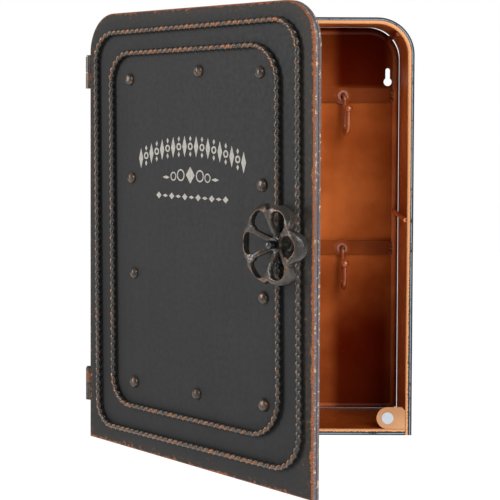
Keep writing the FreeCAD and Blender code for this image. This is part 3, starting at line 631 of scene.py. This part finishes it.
@dataclass(frozen=True)
class RubbedMetal:
    """Dark coat rubbed through on its high places, by a noise and by how far it stands out.

    Attributes:
        name: Name of the material.
        dark: Colour of the coat.
        worn: Colour where it is rubbed through.
        amount: Share of the surface that is rubbed, from 0 to 1.
        rough: Roughness of the coat.
        metallic: How metallic the rubbed places are.
        period: Size of the worn patches, in millimetres.
        shine: Strength of the mirror-like reflection.
    """

    name: str
    dark: str = "211f1e"
    worn: str = "9a5d3a"
    amount: float = 0.4
    rough: float = 0.4
    metallic: float = 0.3
    period: float = 3.0
    shine: float = 0.5

    def make(self, mask: Optional[str] = None) -> bpy.types.Material:
        """Build the finish.

        Args:
            mask: Name of a point attribute that is 1 on crests, if the mesh has one.

        Returns:
            The material.
        """
        paint = Paint(self.name)
        spot = paint.place()
        fine = paint.noise(spot, 0.9, 4.0, 0.65)
        blots = paint.noise(spot, self.period, 4.0, 0.65)
        value = blots
        if mask is not None:
            crest = paint.add("ShaderNodeAttribute", {"attribute_name": mask}).outputs["Fac"]
            value = paint.math("ADD", paint.math("MULTIPLY", crest, 0.45),
                               paint.math("MULTIPLY", blots, 0.55))
        threshold = 0.7 - 0.4 * self.amount
        worn = paint.step(value, threshold - 0.05, threshold + 0.08)
        rusty = paint.step(value, threshold - 0.2, threshold)
        dark = paint.mix(fine, srgb(self.dark), srgb("2a2824"))
        dark = paint.mix(paint.math("MULTIPLY", rusty, 0.7), dark, srgb("4a3a2b"))
        colour = paint.mix(worn, dark, paint.mix(fine, srgb("6b4227"), srgb(self.worn)))
        metallic = paint.math("MULTIPLY", worn, self.metallic)
        rough = paint.step(fine, 0.2, 0.8, self.rough - 0.06, self.rough + 0.1)
        return paint.finish(colour, rough, metallic, paint.bump(fine, 0.06), 0.15, 0.3, self.shine)


@dataclass(frozen=True)
class PlainMetal:
    """Bright metal with fine scratches."""

    name: str
    colour: str = "b9bdc2"
    rough: float = 0.25

    def make(self) -> bpy.types.Material:
        """Build the finish."""
        paint = Paint(self.name)
        fine = paint.noise(paint.place(stretch=(1.0, 1.0, 0.2)), 0.8, 4.0, 0.65)
        rough = paint.step(fine, 0.2, 0.8, self.rough - 0.06, self.rough + 0.12)
        return paint.finish(srgb(self.colour), rough, 1.0, paint.bump(fine, 0.01))


@dataclass(frozen=True)
class PaleInk:
    """Thin pale print, a little patchy."""

    def make(self) -> bpy.types.Material:
        """Build the finish."""
        paint = Paint("pale_ink")
        patch = paint.noise(paint.place(), 1.5, 4.0, 0.7)
        colour = paint.mix(paint.step(patch, 0.3, 0.7), srgb("7d7a74"), srgb("a09b92"))
        return paint.finish(colour, 0.6)


def dress(names: Iterable[str], material: bpy.types.Material) -> None:
    """Give CAD nodes one material.

    Args:
        names: The nodes.
        material: Their finish.
    """
    for name in names:
        mesh = frame["nodes"][name].data
        mesh.materials.clear()
        mesh.materials.append(material)


# ------------------------------------------------------------------ studio

@dataclass(frozen=True)
class SoftBox:
    """A rectangular soft light.

    Attributes:
        name: Name of the light.
        at: Where it hangs.
        aim: The point that it faces.
        power: Its power in watts.
        size: Its width and height.
    """

    name: str
    at: tuple[float, float, float]
    aim: tuple[float, float, float]
    power: float
    size: tuple[float, float]

    def build(self) -> None:
        """Hang the light and turn it to the point that it faces."""
        data = bpy.data.lights.new(self.name, "AREA")
        data.shape = "RECTANGLE"
        data.size, data.size_y = self.size
        data.energy = self.power
        light = bpy.data.objects.new(self.name, data)
        bpy.context.scene.collection.objects.link(light)
        heading = Vector(self.aim) - Vector(self.at)
        light.location = self.at
        light.rotation_euler = heading.to_track_quat("-Z", "Y").to_euler()


@dataclass
class Studio:
    """Camera, soft lights, pale surroundings and a pale floor well below the cabinet.

    Attributes:
        camera_at: Where the camera stands.
        heading: Turn of the camera to the right, in degrees.
        tilt: Tilt of the camera upwards, in degrees.
        roll: Turn of the camera about its own line of sight, in degrees.
        lens: Focal length on a film 36 mm wide.
        rise: Vertical shift of the lens, as a share of the film's width.
        ambient: Brightness of the surroundings.
        floor_drop: How far the floor lies below the cabinet's middle.
        floor_reach: Half the width of the floor.
        floor_glow: Light that the floor itself gives.
        boxes: The soft lights.
    """

    camera_at: tuple[float, float, float] = (-0.0059, -1.2995, 0.0973)
    heading: float = 0.118
    tilt: float = -2.176
    roll: float = 0.241
    lens: float = 104.72
    rise: float = -0.1688
    ambient: float = 0.35
    floor_drop: float = 1.2
    floor_reach: float = 12.0
    floor_glow: float = 0.75
    boxes: tuple[SoftBox, ...] = (
        SoftBox("left_box", (-1.6, -0.55, 0.45), (0.0, -0.15, 0.0), 24.0, (0.5, 1.1)),
        SoftBox("front_box", (0.7, -2.0, 0.8), (0.0, -0.1, 0.0), 24.0, (1.0, 1.0)),
        SoftBox("right_box", (1.15, -1.45, 0.45), (0.0, -0.15, 0.0), 15.0, (0.22, 1.2)))

    def camera(self) -> None:
        """Set up the camera, which looks at the cabinet from a little above its middle."""
        data = bpy.data.cameras.new("view")
        data.lens = self.lens
        data.shift_y = self.rise
        data.sensor_width = 36.0
        data.clip_end = 50.0
        camera = bpy.data.objects.new("view", data)
        bpy.context.scene.collection.objects.link(camera)
        turn = (Matrix.Rotation(math.radians(-self.heading), 4, "Z")
                @ Matrix.Rotation(math.radians(90 + self.tilt), 4, "X")
                @ Matrix.Rotation(math.radians(self.roll), 4, "Z"))
        camera.matrix_world = Matrix.Translation(self.camera_at) @ turn
        bpy.context.scene.camera = camera

    def surroundings(self) -> None:
        """Pale world that lights the cabinet softly and is plain white behind it."""
        world = bpy.data.worlds.new("studio")
        world.use_nodes = True
        tree = world.node_tree
        back = tree.nodes["Background"]
        back.inputs[0].default_value = (1.0, 1.0, 1.0, 1.0)
        seen = tree.nodes.new("ShaderNodeLightPath")
        level = tree.nodes.new("ShaderNodeMapRange")
        level.inputs[3].default_value = self.ambient
        level.inputs[4].default_value = 1.0
        tree.links.new(seen.outputs["Is Camera Ray"], level.inputs[0])
        tree.links.new(level.outputs[0], back.inputs[1])
        bpy.context.scene.world = world

    def floor(self) -> None:
        """Add a wide pale floor."""
        mesh = bpy.data.meshes.new("floor")
        shape = bmesh.new()
        bmesh.ops.create_grid(shape, x_segments=1, y_segments=1, size=self.floor_reach)
        bmesh.ops.translate(shape, verts=shape.verts, vec=(0.0, 0.0, -self.floor_drop))
        shape.to_mesh(mesh)
        shape.free()
        paint = Paint("pale_floor")
        paint.surface.inputs["Emission Color"].default_value = (1.0, 1.0, 1.0, 1.0)
        paint.surface.inputs["Emission Strength"].default_value = self.floor_glow
        mesh.materials.append(paint.finish((0.9, 0.9, 0.9), 0.8))
        floor = bpy.data.objects.new("floor", mesh)
        bpy.context.scene.collection.objects.link(floor)

    def build(self) -> None:
        """Set the whole studio up."""
        self.camera()
        for box in self.boxes:
            box.build()
        self.surroundings()
        self.floor()
        bpy.context.scene.view_settings.view_transform = "Standard"


# ------------------------------------------------------------------ meshes

def mesh_piece(name: str, mesh: bpy.types.Mesh, body: Body, slot: str,
               material: bpy.types.Material, *nodes: str) -> bpy.types.Object:
    """Make a finished piece that rides on a body.

    Args:
        name: Name of the piece.
        mesh: Its mesh, in the row frame.
        body: The body that it rides on.
        slot: The record's material slot. It is not used.
        material: Its finish.
        nodes: CAD nodes that it replaces.

    Returns:
        The object.
    """
    mesh.name = name
    mesh.materials.clear()
    mesh.materials.append(material)
    piece = bpy.data.objects.new(name, mesh)
    bpy.context.scene.collection.objects.link(piece)
    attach(piece, body.value)
    if nodes:
        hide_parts(*nodes)
    LOG.info("%s: %d faces", name, len(mesh.polygons))
    return piece


class NodeTree(Wiring):
    """A geometry node tree under construction, with named inputs."""

    def __init__(self, name: str) -> None:
        """Start a tree with a geometry input and output.

        Args:
            name: Name of the tree.
        """
        super().__init__(bpy.data.node_groups.new(name, "GeometryNodeTree"))
        face = self.tree.interface
        face.new_socket("Geometry", in_out="INPUT", socket_type="NodeSocketGeometry")
        face.new_socket("Geometry", in_out="OUTPUT", socket_type="NodeSocketGeometry")
        self.source = self.tree.nodes.new("NodeGroupInput")
        self.sink = self.tree.nodes.new("NodeGroupOutput")
        self.values: dict[str, Any] = {}

    def input(self, name: str, kind: str, value: Any) -> Socket:
        """Add a named input.

        Args:
            name: What the input is called.
            kind: Its socket type without the common prefix, such as Float.
            value: What the modifier sets it to.

        Returns:
            The socket inside the tree.
        """
        item = self.tree.interface.new_socket(name, in_out="INPUT",
                                              socket_type="NodeSocket" + kind)
        self.values[item.identifier] = value
        return self.source.outputs[name]

    def run(self, carrier: bpy.types.Object, geometry: Socket,
            material: bpy.types.Material) -> bpy.types.Mesh:
        """Close the tree, evaluate it on a carrier object and return the mesh.

        Args:
            carrier: The object that the tree works on. It is removed afterwards.
            geometry: The tree's last geometry.
            material: The finish that the tree sets.

        Returns:
            A plain mesh.
        """
        finish = self.input("Finish", "Material", material)
        real = self.add("GeometryNodeRealizeInstances", Geometry=geometry)
        dressed = self.add("GeometryNodeSetMaterial", Geometry=real.outputs[0], Material=finish)
        self.tree.links.new(dressed.outputs[0], self.sink.inputs[0])
        modifier = carrier.modifiers.new(self.tree.name, "NODES")
        modifier.node_group = self.tree
        for identifier, value in self.values.items():
            modifier[identifier] = value
        bpy.context.view_layer.update()
        graph = bpy.context.evaluated_depsgraph_get()
        mesh = bpy.data.meshes.new_from_object(carrier.evaluated_get(graph))
        carrier.modifiers.remove(modifier)
        bpy.data.objects.remove(carrier)
        return mesh


def carrier_of(points: Sequence[Vector], closed: bool = False) -> bpy.types.Object:
    """Make a scratch object from points: loose vertices, or a closed line.

    Args:
        points: The vertices.
        closed: Join them in a ring.

    Returns:
        The object, linked to the scene.
    """
    mesh = bpy.data.meshes.new("carrier")
    count = len(points)
    edges = [(index, (index + 1) % count) for index in range(count)] if closed else []
    mesh.from_pydata([tuple(point) for point in points], edges, [])
    carrier = bpy.data.objects.new("carrier", mesh)
    bpy.context.scene.collection.objects.link(carrier)
    return carrier


# ------------------------------------------------------------------ door trim

def leaned(places: Iterable[Sequence[float]], lean: float) -> list[Vector]:
    """Turn places on the door about its middle, because the whole trim leans a little.

    Args:
        places: Places along and up the door, in millimetres.
        lean: The angle, in degrees.

    Returns:
        The turned places.
    """
    middle = Vector((CASE_WIDTH / 2, CASE_HEIGHT / 2))
    turn = Matrix.Rotation(math.radians(lean), 2)
    return [turn @ (Vector(place) - middle) + middle for place in places]


@dataclass
class RopeFrame:
    """A closed frame of two-strand twisted rod, welded flat on the door's face.

    Attributes:
        name: Name of the piece.
        node: The CAD node that it replaces.
        sides: Left, right, bottom and top of the rod's middle line on the door, in mm.
        corners: Corner radii from lower left, anticlockwise, in mm.
        radius: Outer radius of the rod, in mm.
        lay: Length of one full twist, in mm.
        lean: How far the frame leans, in degrees.
        spacing: Distance between the points of its middle line, in mm.
        corner_steps: Steps in each corner's arc.
        outline_points: Points round the outline of the two strands.
        waist: Narrowest reach of the outline, as a share of the radius.
        upright_margin: Height that the corners take up at each end of an upright run, in mm.
        upright_wear: Share of the wear that the upright runs get.
    """

    name: str
    node: str
    sides: tuple[float, float, float, float]
    corners: tuple[float, float, float, float]
    radius: float = 2.5
    lay: float = 12.3
    lean: float = TRIM_LEAN
    spacing: float = 0.75
    corner_steps: int = 24
    outline_points: int = 20
    waist: float = 0.74
    upright_margin: float = 22.0
    upright_wear: float = 0.8

    @property
    def seat(self) -> float:
        """Height of the rod's middle line over the door's back, in mm."""
        return DOOR_THICKNESS + self.radius + WELD_GAP

    def line(self) -> list[Vector]:
        """Points of the rod's middle line in door places, evenly spaced.

        Returns:
            Places along and up the door, in millimetres.
        """
        left, right, bottom, top = self.sides
        places = [(left, bottom), (right, bottom), (right, top), (left, top)]
        headings = [(1, 0), (0, 1), (-1, 0), (0, -1)]
        rough: list[Vector] = []
        for index, (place, radius) in enumerate(zip(places, self.corners)):
            before = Vector(headings[index - 1])
            after = Vector(headings[index])
            centre = Vector(place) - before * radius + after * radius
            for step in range(self.corner_steps + 1):
                angle = math.radians(90 * step / self.corner_steps)
                rough.append(centre + radius * (before * math.sin(angle) - after * math.cos(angle)))
        rough.append(rough[0].copy())
        points: list[Vector] = []
        carry = 0.0
        for start, end in zip(rough, rough[1:]):
            length = (end - start).length
            while carry < length:
                points.append(start.lerp(end, carry / length) if length else start.copy())
                carry += self.spacing
            carry -= length
        return leaned(points, self.lean)

    def profile(self) -> bpy.types.Object:
        """Outline of two round strands side by side.

        Returns:
            A scratch object with the outline as a closed line.
        """
        ring = []
        for index in range(self.outline_points):
            angle = math.tau * index / self.outline_points
            reach = self.radius * max(abs(math.cos(angle)), self.waist)
            ring.append(Vector((reach * math.cos(angle), reach * math.sin(angle), 0.0)) * MM)
        return carrier_of(ring, closed=True)

    def build(self, material: bpy.types.Material) -> bpy.types.Object:
        """Twist the profile along the line with geometry nodes.

        Args:
            material: The rod's finish.

        Returns:
            The finished piece.
        """
        line = self.line()
        carrier = carrier_of([DOOR.at(point.x, point.y, self.seat) for point in line],
                             closed=True)
        length = sum((b - a).length for a, b in zip(line, line[1:] + line[:1]))
        twists = round(length / self.lay)
        profile = self.profile()
        tree = NodeTree(self.name)
        outline = tree.input("Strand outline", "Object", profile)
        count = tree.input("Twists", "Float", float(-twists))
        curve = tree.add("GeometryNodeMeshToCurve", Mesh=tree.source.outputs[0])
        along = tree.add("GeometryNodeSplineParameter")
        angle = tree.math("MULTIPLY", tree.math("MULTIPLY", along.outputs["Factor"], count),
                          math.tau)
        tilted = tree.add("GeometryNodeSetCurveTilt", Curve=curve.outputs[0], Tilt=angle)
        info = tree.add("GeometryNodeObjectInfo", Object=outline)
        ring = tree.add("GeometryNodeMeshToCurve", Mesh=info.outputs["Geometry"])
        rod = tree.add("GeometryNodeCurveToMesh", Curve=tilted.outputs[0],
                       Profile_Curve=ring.outputs[0])
        smooth = tree.add("GeometryNodeSetShadeSmooth", Geometry=rod.outputs[0])
        mesh = tree.run(carrier, smooth.outputs[0], material)
        bpy.data.objects.remove(profile)
        self.mark_crests(mesh)
        return mesh_piece(self.name, mesh, Body.DOOR, "worn_black_rod", material, self.node)

    def mark_crests(self, mesh: bpy.types.Mesh) -> None:
        """Store how far each point stands out, less on the upright runs, for the finish.

        Args:
            mesh: The rod's mesh, in the row frame.
        """
        crest = mesh.attributes.new("crest", "FLOAT", "POINT")
        back = DOOR.matrix.inverted()
        _, _, bottom, top = self.sides
        for vertex, item in zip(mesh.vertices, crest.data):
            place = back @ vertex.co / MM
            level = min(1.0, max(0.0, (-place.y - self.seat) / self.radius))
            upright = bottom + self.upright_margin < place.z < top - self.upright_margin
            item.value = level * (self.upright_wear if upright else 1.0)


@dataclass
class Rivets:
    """Domed rivet heads on the door, each hammered a little differently.

    Attributes:
        places: Their middles along and up the door, in mm.
        radius: Radius of a head, in mm.
        rise: Height of a head, in mm.
        lean: How far the trim leans, in degrees.
        rings: Rings of faces from the foot to the top of a head.
        sides: Faces in each ring.
        foot: Power that fills out the foot of a head. 1 makes a plain dome.
        dent: Depth of the hammer marks, in mm.
        dents: How closely the hammer marks lie, per metre.
        spread: Smallest and largest size of a head.
        seed: Seed of the sizes and turns.
    """

    places: Sequence[tuple[float, float]]
    radius: float = 4.8
    rise: float = 3.7
    lean: float = TRIM_LEAN
    rings: int = 9
    sides: int = 28
    foot: float = 0.8
    dent: float = 0.22
    dents: float = 420.0
    spread: tuple[float, float] = (0.94, 1.04)
    seed: int = 7

    def dome(self) -> bpy.types.Object:
        """One head: a low dome with a soft foot, closed underneath.

        Returns:
            A scratch object with the head, standing on its foot.
        """
        shape = bmesh.new()
        rings, sides = self.rings, self.sides
        profile = []
        for index in range(rings + 1):
            angle = math.radians(90 * index / rings)
            profile.append((self.radius * math.cos(angle) ** self.foot,
                            self.rise * math.sin(angle)))
        previous = None
        for reach, height in profile[:-1]:
            ring = [shape.verts.new((reach * math.cos(math.tau * k / sides) * MM,
                                     reach * math.sin(math.tau * k / sides) * MM, height * MM))
                    for k in range(sides)]
            if previous is None:
                shape.faces.new(list(reversed(ring)))
            else:
                for k in range(sides):
                    shape.faces.new((previous[k], previous[(k + 1) % sides],
                                     ring[(k + 1) % sides], ring[k]))
            previous = ring
        top = shape.verts.new((0.0, 0.0, self.rise * MM))
        for k in range(sides):
            shape.faces.new((previous[k], previous[(k + 1) % sides], top))
        for vertex in shape.verts:
            bump = noise.noise(vertex.co * self.dents) * self.dent * MM
            vertex.co += vertex.co.normalized() * bump * (vertex.co.z > 0)
        mesh = bpy.data.meshes.new("dome")
        shape.to_mesh(mesh)
        shape.free()
        dome = bpy.data.objects.new("dome", mesh)
        bpy.context.scene.collection.objects.link(dome)
        return dome

    def build(self, material: bpy.types.Material) -> bpy.types.Object:
        """Set a dome on each place with geometry nodes.

        Args:
            material: The heads' finish.

        Returns:
            The finished piece.
        """
        seat = DOOR_THICKNESS + WELD_GAP
        spots = leaned(self.places, self.lean)
        carrier = carrier_of([DOOR.at(spot.x, spot.y, seat) for spot in spots])
        dome = self.dome()
        tree = NodeTree("rivets")
        head = tree.input("Head", "Object", dome)
        facing = tree.input("Facing", "Vector",
                            tuple((DOOR.turn @ Matrix.Rotation(math.pi / 2, 4, "X")).to_euler()))
        seed = tree.input("Seed", "Int", self.seed)
        info = tree.add("GeometryNodeObjectInfo", Object=head)
        points = tree.add("GeometryNodeMeshToPoints", Mesh=tree.source.outputs[0])
        smallest, largest = self.spread
        spread = tree.add("FunctionNodeRandomValue", {"data_type": "FLOAT"}, Min=smallest,
                          Max=largest, Seed=seed)
        heads = tree.add("GeometryNodeInstanceOnPoints", Points=points.outputs[0],
                         Instance=info.outputs["Geometry"], Rotation=facing,
                         Scale=spread.outputs[1])
        twist = tree.add("FunctionNodeRandomValue", {"data_type": "FLOAT"}, Min=0.0,
                         Max=math.tau, Seed=seed)
        turn = tree.add("ShaderNodeCombineXYZ", Z=twist.outputs[1])
        turned = tree.add("GeometryNodeRotateInstances", Instances=heads.outputs[0],
                          Rotation=turn.outputs[0])
        smooth = tree.add("GeometryNodeSetShadeSmooth", Geometry=turned.outputs[0])
        mesh = tree.run(carrier, smooth.outputs[0], material)
        bpy.data.objects.remove(dome)
        return mesh_piece("rivet_heads", mesh, Body.DOOR, "bronzed_rivets", material,
                          "door_rivets")


# ------------------------------------------------------------------ cast pieces

def cad_copy(name: str) -> bpy.types.Mesh:
    """Copy a CAD node's mesh into the row frame with its triangles joined up.

    Args:
        name: The node.

    Returns:
        The copy.
    """
    node = frame["nodes"][name]
    shape = bmesh.new()
    shape.from_mesh(node.data)
    shape.transform(node.matrix_world)
    bmesh.ops.remove_doubles(shape, verts=shape.verts, dist=0.001 * MM)
    mesh = bpy.data.meshes.new(name + "_copy")
    shape.to_mesh(mesh)
    shape.free()
    return mesh


@dataclass
class Casting:
    """A CAD piece with the soft edges and the slight lumps of a sand casting.

    Attributes:
        name: Name of the piece.
        node: The CAD node that it follows and replaces.
        body: The body that it rides on.
        slot: The record's material slot.
        grain: Size of the remeshing cells, in mm.
        soften: Passes of smoothing.
        lump: Height of the lumps, in mm.
        broad: How closely the broad lumps lie, per metre.
        close: How closely the small lumps lie, per metre.
        close_share: Height of the small lumps over that of the broad ones.
        even_passes: Passes of smoothing that show how sharply a point stands out.
        sharp: Rise over the smoothed surface that counts as a full crest, in mm.
        edge_wear: Wear of a full crest, from 0 to 1.
        front_wear: Wear of a surface that faces out of the door, from 0 to 1.
    """

    name: str
    node: str
    body: Body
    slot: str
    grain: float = 0.45
    soften: int = 22
    lump: float = 0.4
    broad: float = 160.0
    close: float = 700.0
    close_share: float = 0.35
    even_passes: int = 10
    sharp: float = 0.35
    edge_wear: float = 0.5
    front_wear: float = 0.35

    def build(self, material: bpy.types.Material) -> bpy.types.Object:
        """Remesh, smooth and roughen a copy of the CAD mesh.

        Args:
            material: The casting's finish.

        Returns:
            The finished piece.
        """
        source = bpy.data.objects.new(self.name + "_source", cad_copy(self.node))
        bpy.context.scene.collection.objects.link(source)
        remesh = source.modifiers.new("cells", "REMESH")
        remesh.mode = "VOXEL"
        remesh.voxel_size = self.grain * MM
        smooth = source.modifiers.new("soften", "SMOOTH")
        smooth.factor = 0.5
        smooth.iterations = self.soften
        bpy.context.view_layer.update()
        graph = bpy.context.evaluated_depsgraph_get()
        mesh = bpy.data.meshes.new_from_object(source.evaluated_get(graph))
        bpy.data.objects.remove(source)
        self.roughen(mesh)
        mesh.shade_smooth()
        return mesh_piece(self.name, mesh, self.body, self.slot, material, self.node)

    def roughen(self, mesh: bpy.types.Mesh) -> None:
        """Push points in and out by a noise, and store where the casting is rubbed.

        Args:
            mesh: The casting's mesh, in the row frame.
        """
        shape = bmesh.new()
        shape.from_mesh(mesh)
        shape.normal_update()
        places = [vertex.co.copy() for vertex in shape.verts]
        shape.verts.index_update()
        ties = [[edge.other_vert(vertex).index for edge in vertex.link_edges]
                for vertex in shape.verts]
        flat = places
        for _ in range(self.even_passes):
            flat = [sum((flat[other] for other in near), Vector()) / len(near) for near in ties]
        edge_level = [(place - even).dot(vertex.normal) / MM
                      for place, even, vertex in zip(places, flat, shape.verts)]
        for vertex in shape.verts:
            push = (noise.noise(vertex.co * self.broad) * self.lump
                    + noise.noise(vertex.co * self.close) * self.lump * self.close_share)
            vertex.co += vertex.normal * push * MM
        shape.to_mesh(mesh)
        shape.free()
        crest = mesh.attributes.new("crest", "FLOAT", "POINT")
        outward = DOOR.matrix.to_3x3() @ Vector((0.0, -1.0, 0.0))
        for item, level, vertex in zip(crest.data, edge_level, mesh.vertices):
            facing = max(0.0, vertex.normal.dot(outward))
            item.value = (self.edge_wear * min(1.0, max(0.0, level / self.sharp))
                          + self.front_wear * facing)


@dataclass
class WeldBeads:
    """Small lumps of weld where the rods and rails inside the case are joined.

    Attributes:
        radius: Radius of a lump, in mm.
        rail_beads: Drop of the first and rise of the second lump on a rail's end, in mm.
        brace_beads: Way out and drop of each lump on a side brace, in mm.
        strut_beads: Way out and rise of each lump on a corner strut, in mm.
        smallest: Least stretch of a lump along each axis.
        largest: Greatest stretch of a lump along each axis.
        seed: Seed of the stretches.
    """

    radius: float = 2.0
    rail_beads: tuple[float, float] = (3.0, 2.0)
    brace_beads: tuple[tuple[float, float], ...] = ((2.0, 2.0), (3.6, 4.0))
    strut_beads: tuple[tuple[float, float], ...] = ((2.0, 2.0), (3.0, 3.4))
    smallest: tuple[float, float, float] = (0.8, 0.6, 0.8)
    largest: tuple[float, float, float] = (1.3, 0.9, 1.3)
    seed: int = 11

    def places(self) -> list[Vector]:
        """Ends of the rails, braces and struts, from their CAD boxes.

        Returns:
            The middles of the lumps.
        """
        spots: list[Vector] = []
        drop, rise = self.rail_beads
        for level in ("upper", "lower"):
            low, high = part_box("hook_rail_" + level)
            for x in (low.x, high.x):
                for z in (high.z - drop * MM, low.z + rise * MM, (low.z + high.z) / 2):
                    spots.append(Vector((x, low.y, z)))
        for side, sign in (("left", -1.0), ("right", 1.0)):
            low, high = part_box("side_brace_" + side)
            inner = low.x if sign > 0 else high.x
            for out, drop in self.brace_beads:
                spots.append(Vector((inner + sign * out * MM, high.y, high.z - drop * MM)))
            low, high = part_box("corner_strut_" + side)
            inner = low.x if sign > 0 else high.x
            for out, rise in self.strut_beads:
                spots.append(Vector((inner + sign * out * MM, high.y, low.z + rise * MM)))
        return spots

    def build(self, material: bpy.types.Material) -> bpy.types.Object:
        """Set a lump on each place with geometry nodes, each a little different in size.

        Args:
            material: The lumps' finish.

        Returns:
            The finished piece.
        """
        carrier = carrier_of(self.places())
        tree = NodeTree("weld_beads")
        radius = tree.input("Bead radius", "Float", self.radius * MM)
        seed = tree.input("Seed", "Int", self.seed)
        points = tree.add("GeometryNodeMeshToPoints", Mesh=tree.source.outputs[0])
        ball = tree.add("GeometryNodeMeshIcoSphere", Radius=radius, Subdivisions=3)
        spread = tree.add("FunctionNodeRandomValue", {"data_type": "FLOAT_VECTOR"},
                          Min=self.smallest, Max=self.largest, Seed=seed)
        beads = tree.add("GeometryNodeInstanceOnPoints", Points=points.outputs[0],
                         Instance=ball.outputs[0], Scale=spread.outputs[0])
        smooth = tree.add("GeometryNodeSetShadeSmooth", Geometry=beads.outputs[0])
        mesh = tree.run(carrier, smooth.outputs[0], material)
        return mesh_piece("weld_beads", mesh, Body.CASE, "rust_brown_paint", material)


# ------------------------------------------------------------------ assembly

@dataclass
class Cabinet:
    """The whole cabinet: finishes on the CAD pieces, and the detailed pieces.

    Attributes:
        ropes: The two rod frames on the door.
        rivets: The rivet heads on the door.
        wheel: The cast handwheel.
        beads: The welds inside the case.
    """

    ropes: list[RopeFrame] = field(default_factory=lambda: [
        RopeFrame("outer_twisted_rod", "outer_rope", (14.8, 254.2, 17.2, 335.3),
                  (18.6, 26.5, 24.3, 23.0)),
        RopeFrame("inner_twisted_rod", "inner_rope", (35.6, 233.1, 37.5, 318.2),
                  (21.3, 29.5, 27.8, 23.0))])
    rivets: Rivets = field(default_factory=lambda: Rivets([
        (57.6, 297.6), (143.8, 301.5), (212.9, 298.5), (59.1, 219.4), (214.8, 217.8),
        (61.6, 143.6), (215.6, 136.8), (61.1, 56.6), (139.3, 57.3), (215.3, 59.6)]))
    wheel: Casting = field(default_factory=lambda: Casting(
        "cast_wheel", "handwheel", Body.WHEEL, "cast_wheel"))
    beads: WeldBeads = field(default_factory=WeldBeads)

    def dress_case(self) -> None:
        """Finish the case and what is in it."""
        dress(["case_wrap"],
              RimPaint("case_wrap_paint", -50.0, deep="ae5826", light="cc7036").make())
        # The floor keeps the default copper, darker than the wrap's inside: painted shade on the
        # floor.
        dress(["case_floor"], RimPaint("case_floor_paint", 0.0).make())
        dress(["back_panel"], CopperBrown("back_brown", "9e4c20", "bb622f", gloss=0.0,
                                          painted_shade=True, shine=0.0).make())
        dress(["back_frame", "side_brace_left", "side_brace_right", "corner_strut_left",
               "corner_strut_right"],
              CopperBrown("rod_brown", "c46636", "da824c", gloss=0.0, painted_shade=True,
                          shine=0.1).make())
        self.beads.build(CopperBrown("bead_brown", "6b2c0c", "8c4517", gloss=0.5).make())
        dress(["hook_rail_upper", "hook_rail_lower"],
              CopperBrown("rail_brown", "74320f", "8e4217", gloss=0.0, shine=0.05).make())
        dress(["key_hooks_upper", "key_hooks_lower", "hook_rosettes"],
              CopperBrown("hook_brown", "86330c", "a8541f", gloss=1.0, shine=0.5).make())
        dress(["catch_plate"], CopperBrown("catch_copper", "a06e48", "bb8a62", gloss=0.1).make())
        dress(["catch_magnet"], PlainMetal("magnet_plating", "c9cfd6", rough=0.2).make())

    def dress_door(self) -> None:
        """Finish the door's CAD pieces and the hinges."""
        dress(["door_skin", "door_liner"], DoorBlack().make())
        dress(["door_knuckle_upper", "door_knuckle_lower", "hinge_pin_upper",
               "hinge_pin_lower"],
              RubbedMetal("hinge_metal", "1f1f1f", "6a4a34", amount=0.15, rough=0.34,
                          metallic=0.5, period=5.0).make())
        dress(["hinge_leaf_upper", "hinge_leaf_lower"],
              RubbedMetal("leaf_metal", "3a2c22", "8a5a3a", amount=0.4, rough=0.36,
                          metallic=0.4, period=6.0).make())
        dress(["door_ornament"], PaleInk().make())
        dress(["wheel_base"],
              RubbedMetal("cast_coat", "171615", "9c5f3c", amount=0.1, rough=0.36,
                          metallic=0.4, period=4.0).make())
        dress(["wheel_bolt", "bolt_washer", "bolt_nut"],
              PlainMetal("bolt_steel", "4a4b4d", rough=0.3).make())

    def build(self) -> None:
        """Dress the CAD pieces and add the detailed ones."""
        self.dress_case()
        self.dress_door()
        rod = RubbedMetal("rod_coat", "131210", "8f5630", amount=0.14, rough=0.24,
                          metallic=0.3, period=9.0, shine=0.3).make("crest")
        for rope in self.ropes:
            rope.build(rod)
        self.rivets.build(RubbedMetal("rivet_coat", "1a1612", "86522f", amount=0.24, rough=0.28,
                                      metallic=0.4, period=3.0, shine=0.35).make())
        self.wheel.build(RubbedMetal("wheel_coat", "161412", "8c5836", amount=0.3, rough=0.26,
                                     metallic=0.2, period=6.0, shine=0.35).make("crest"))


def main() -> None:
    """Build the studio and the cabinet."""
    logging.basicConfig(level=logging.INFO, format="%(name)s %(message)s")
    Studio().build()
    Cabinet().build()


if __name__ == "__main__":
    main()
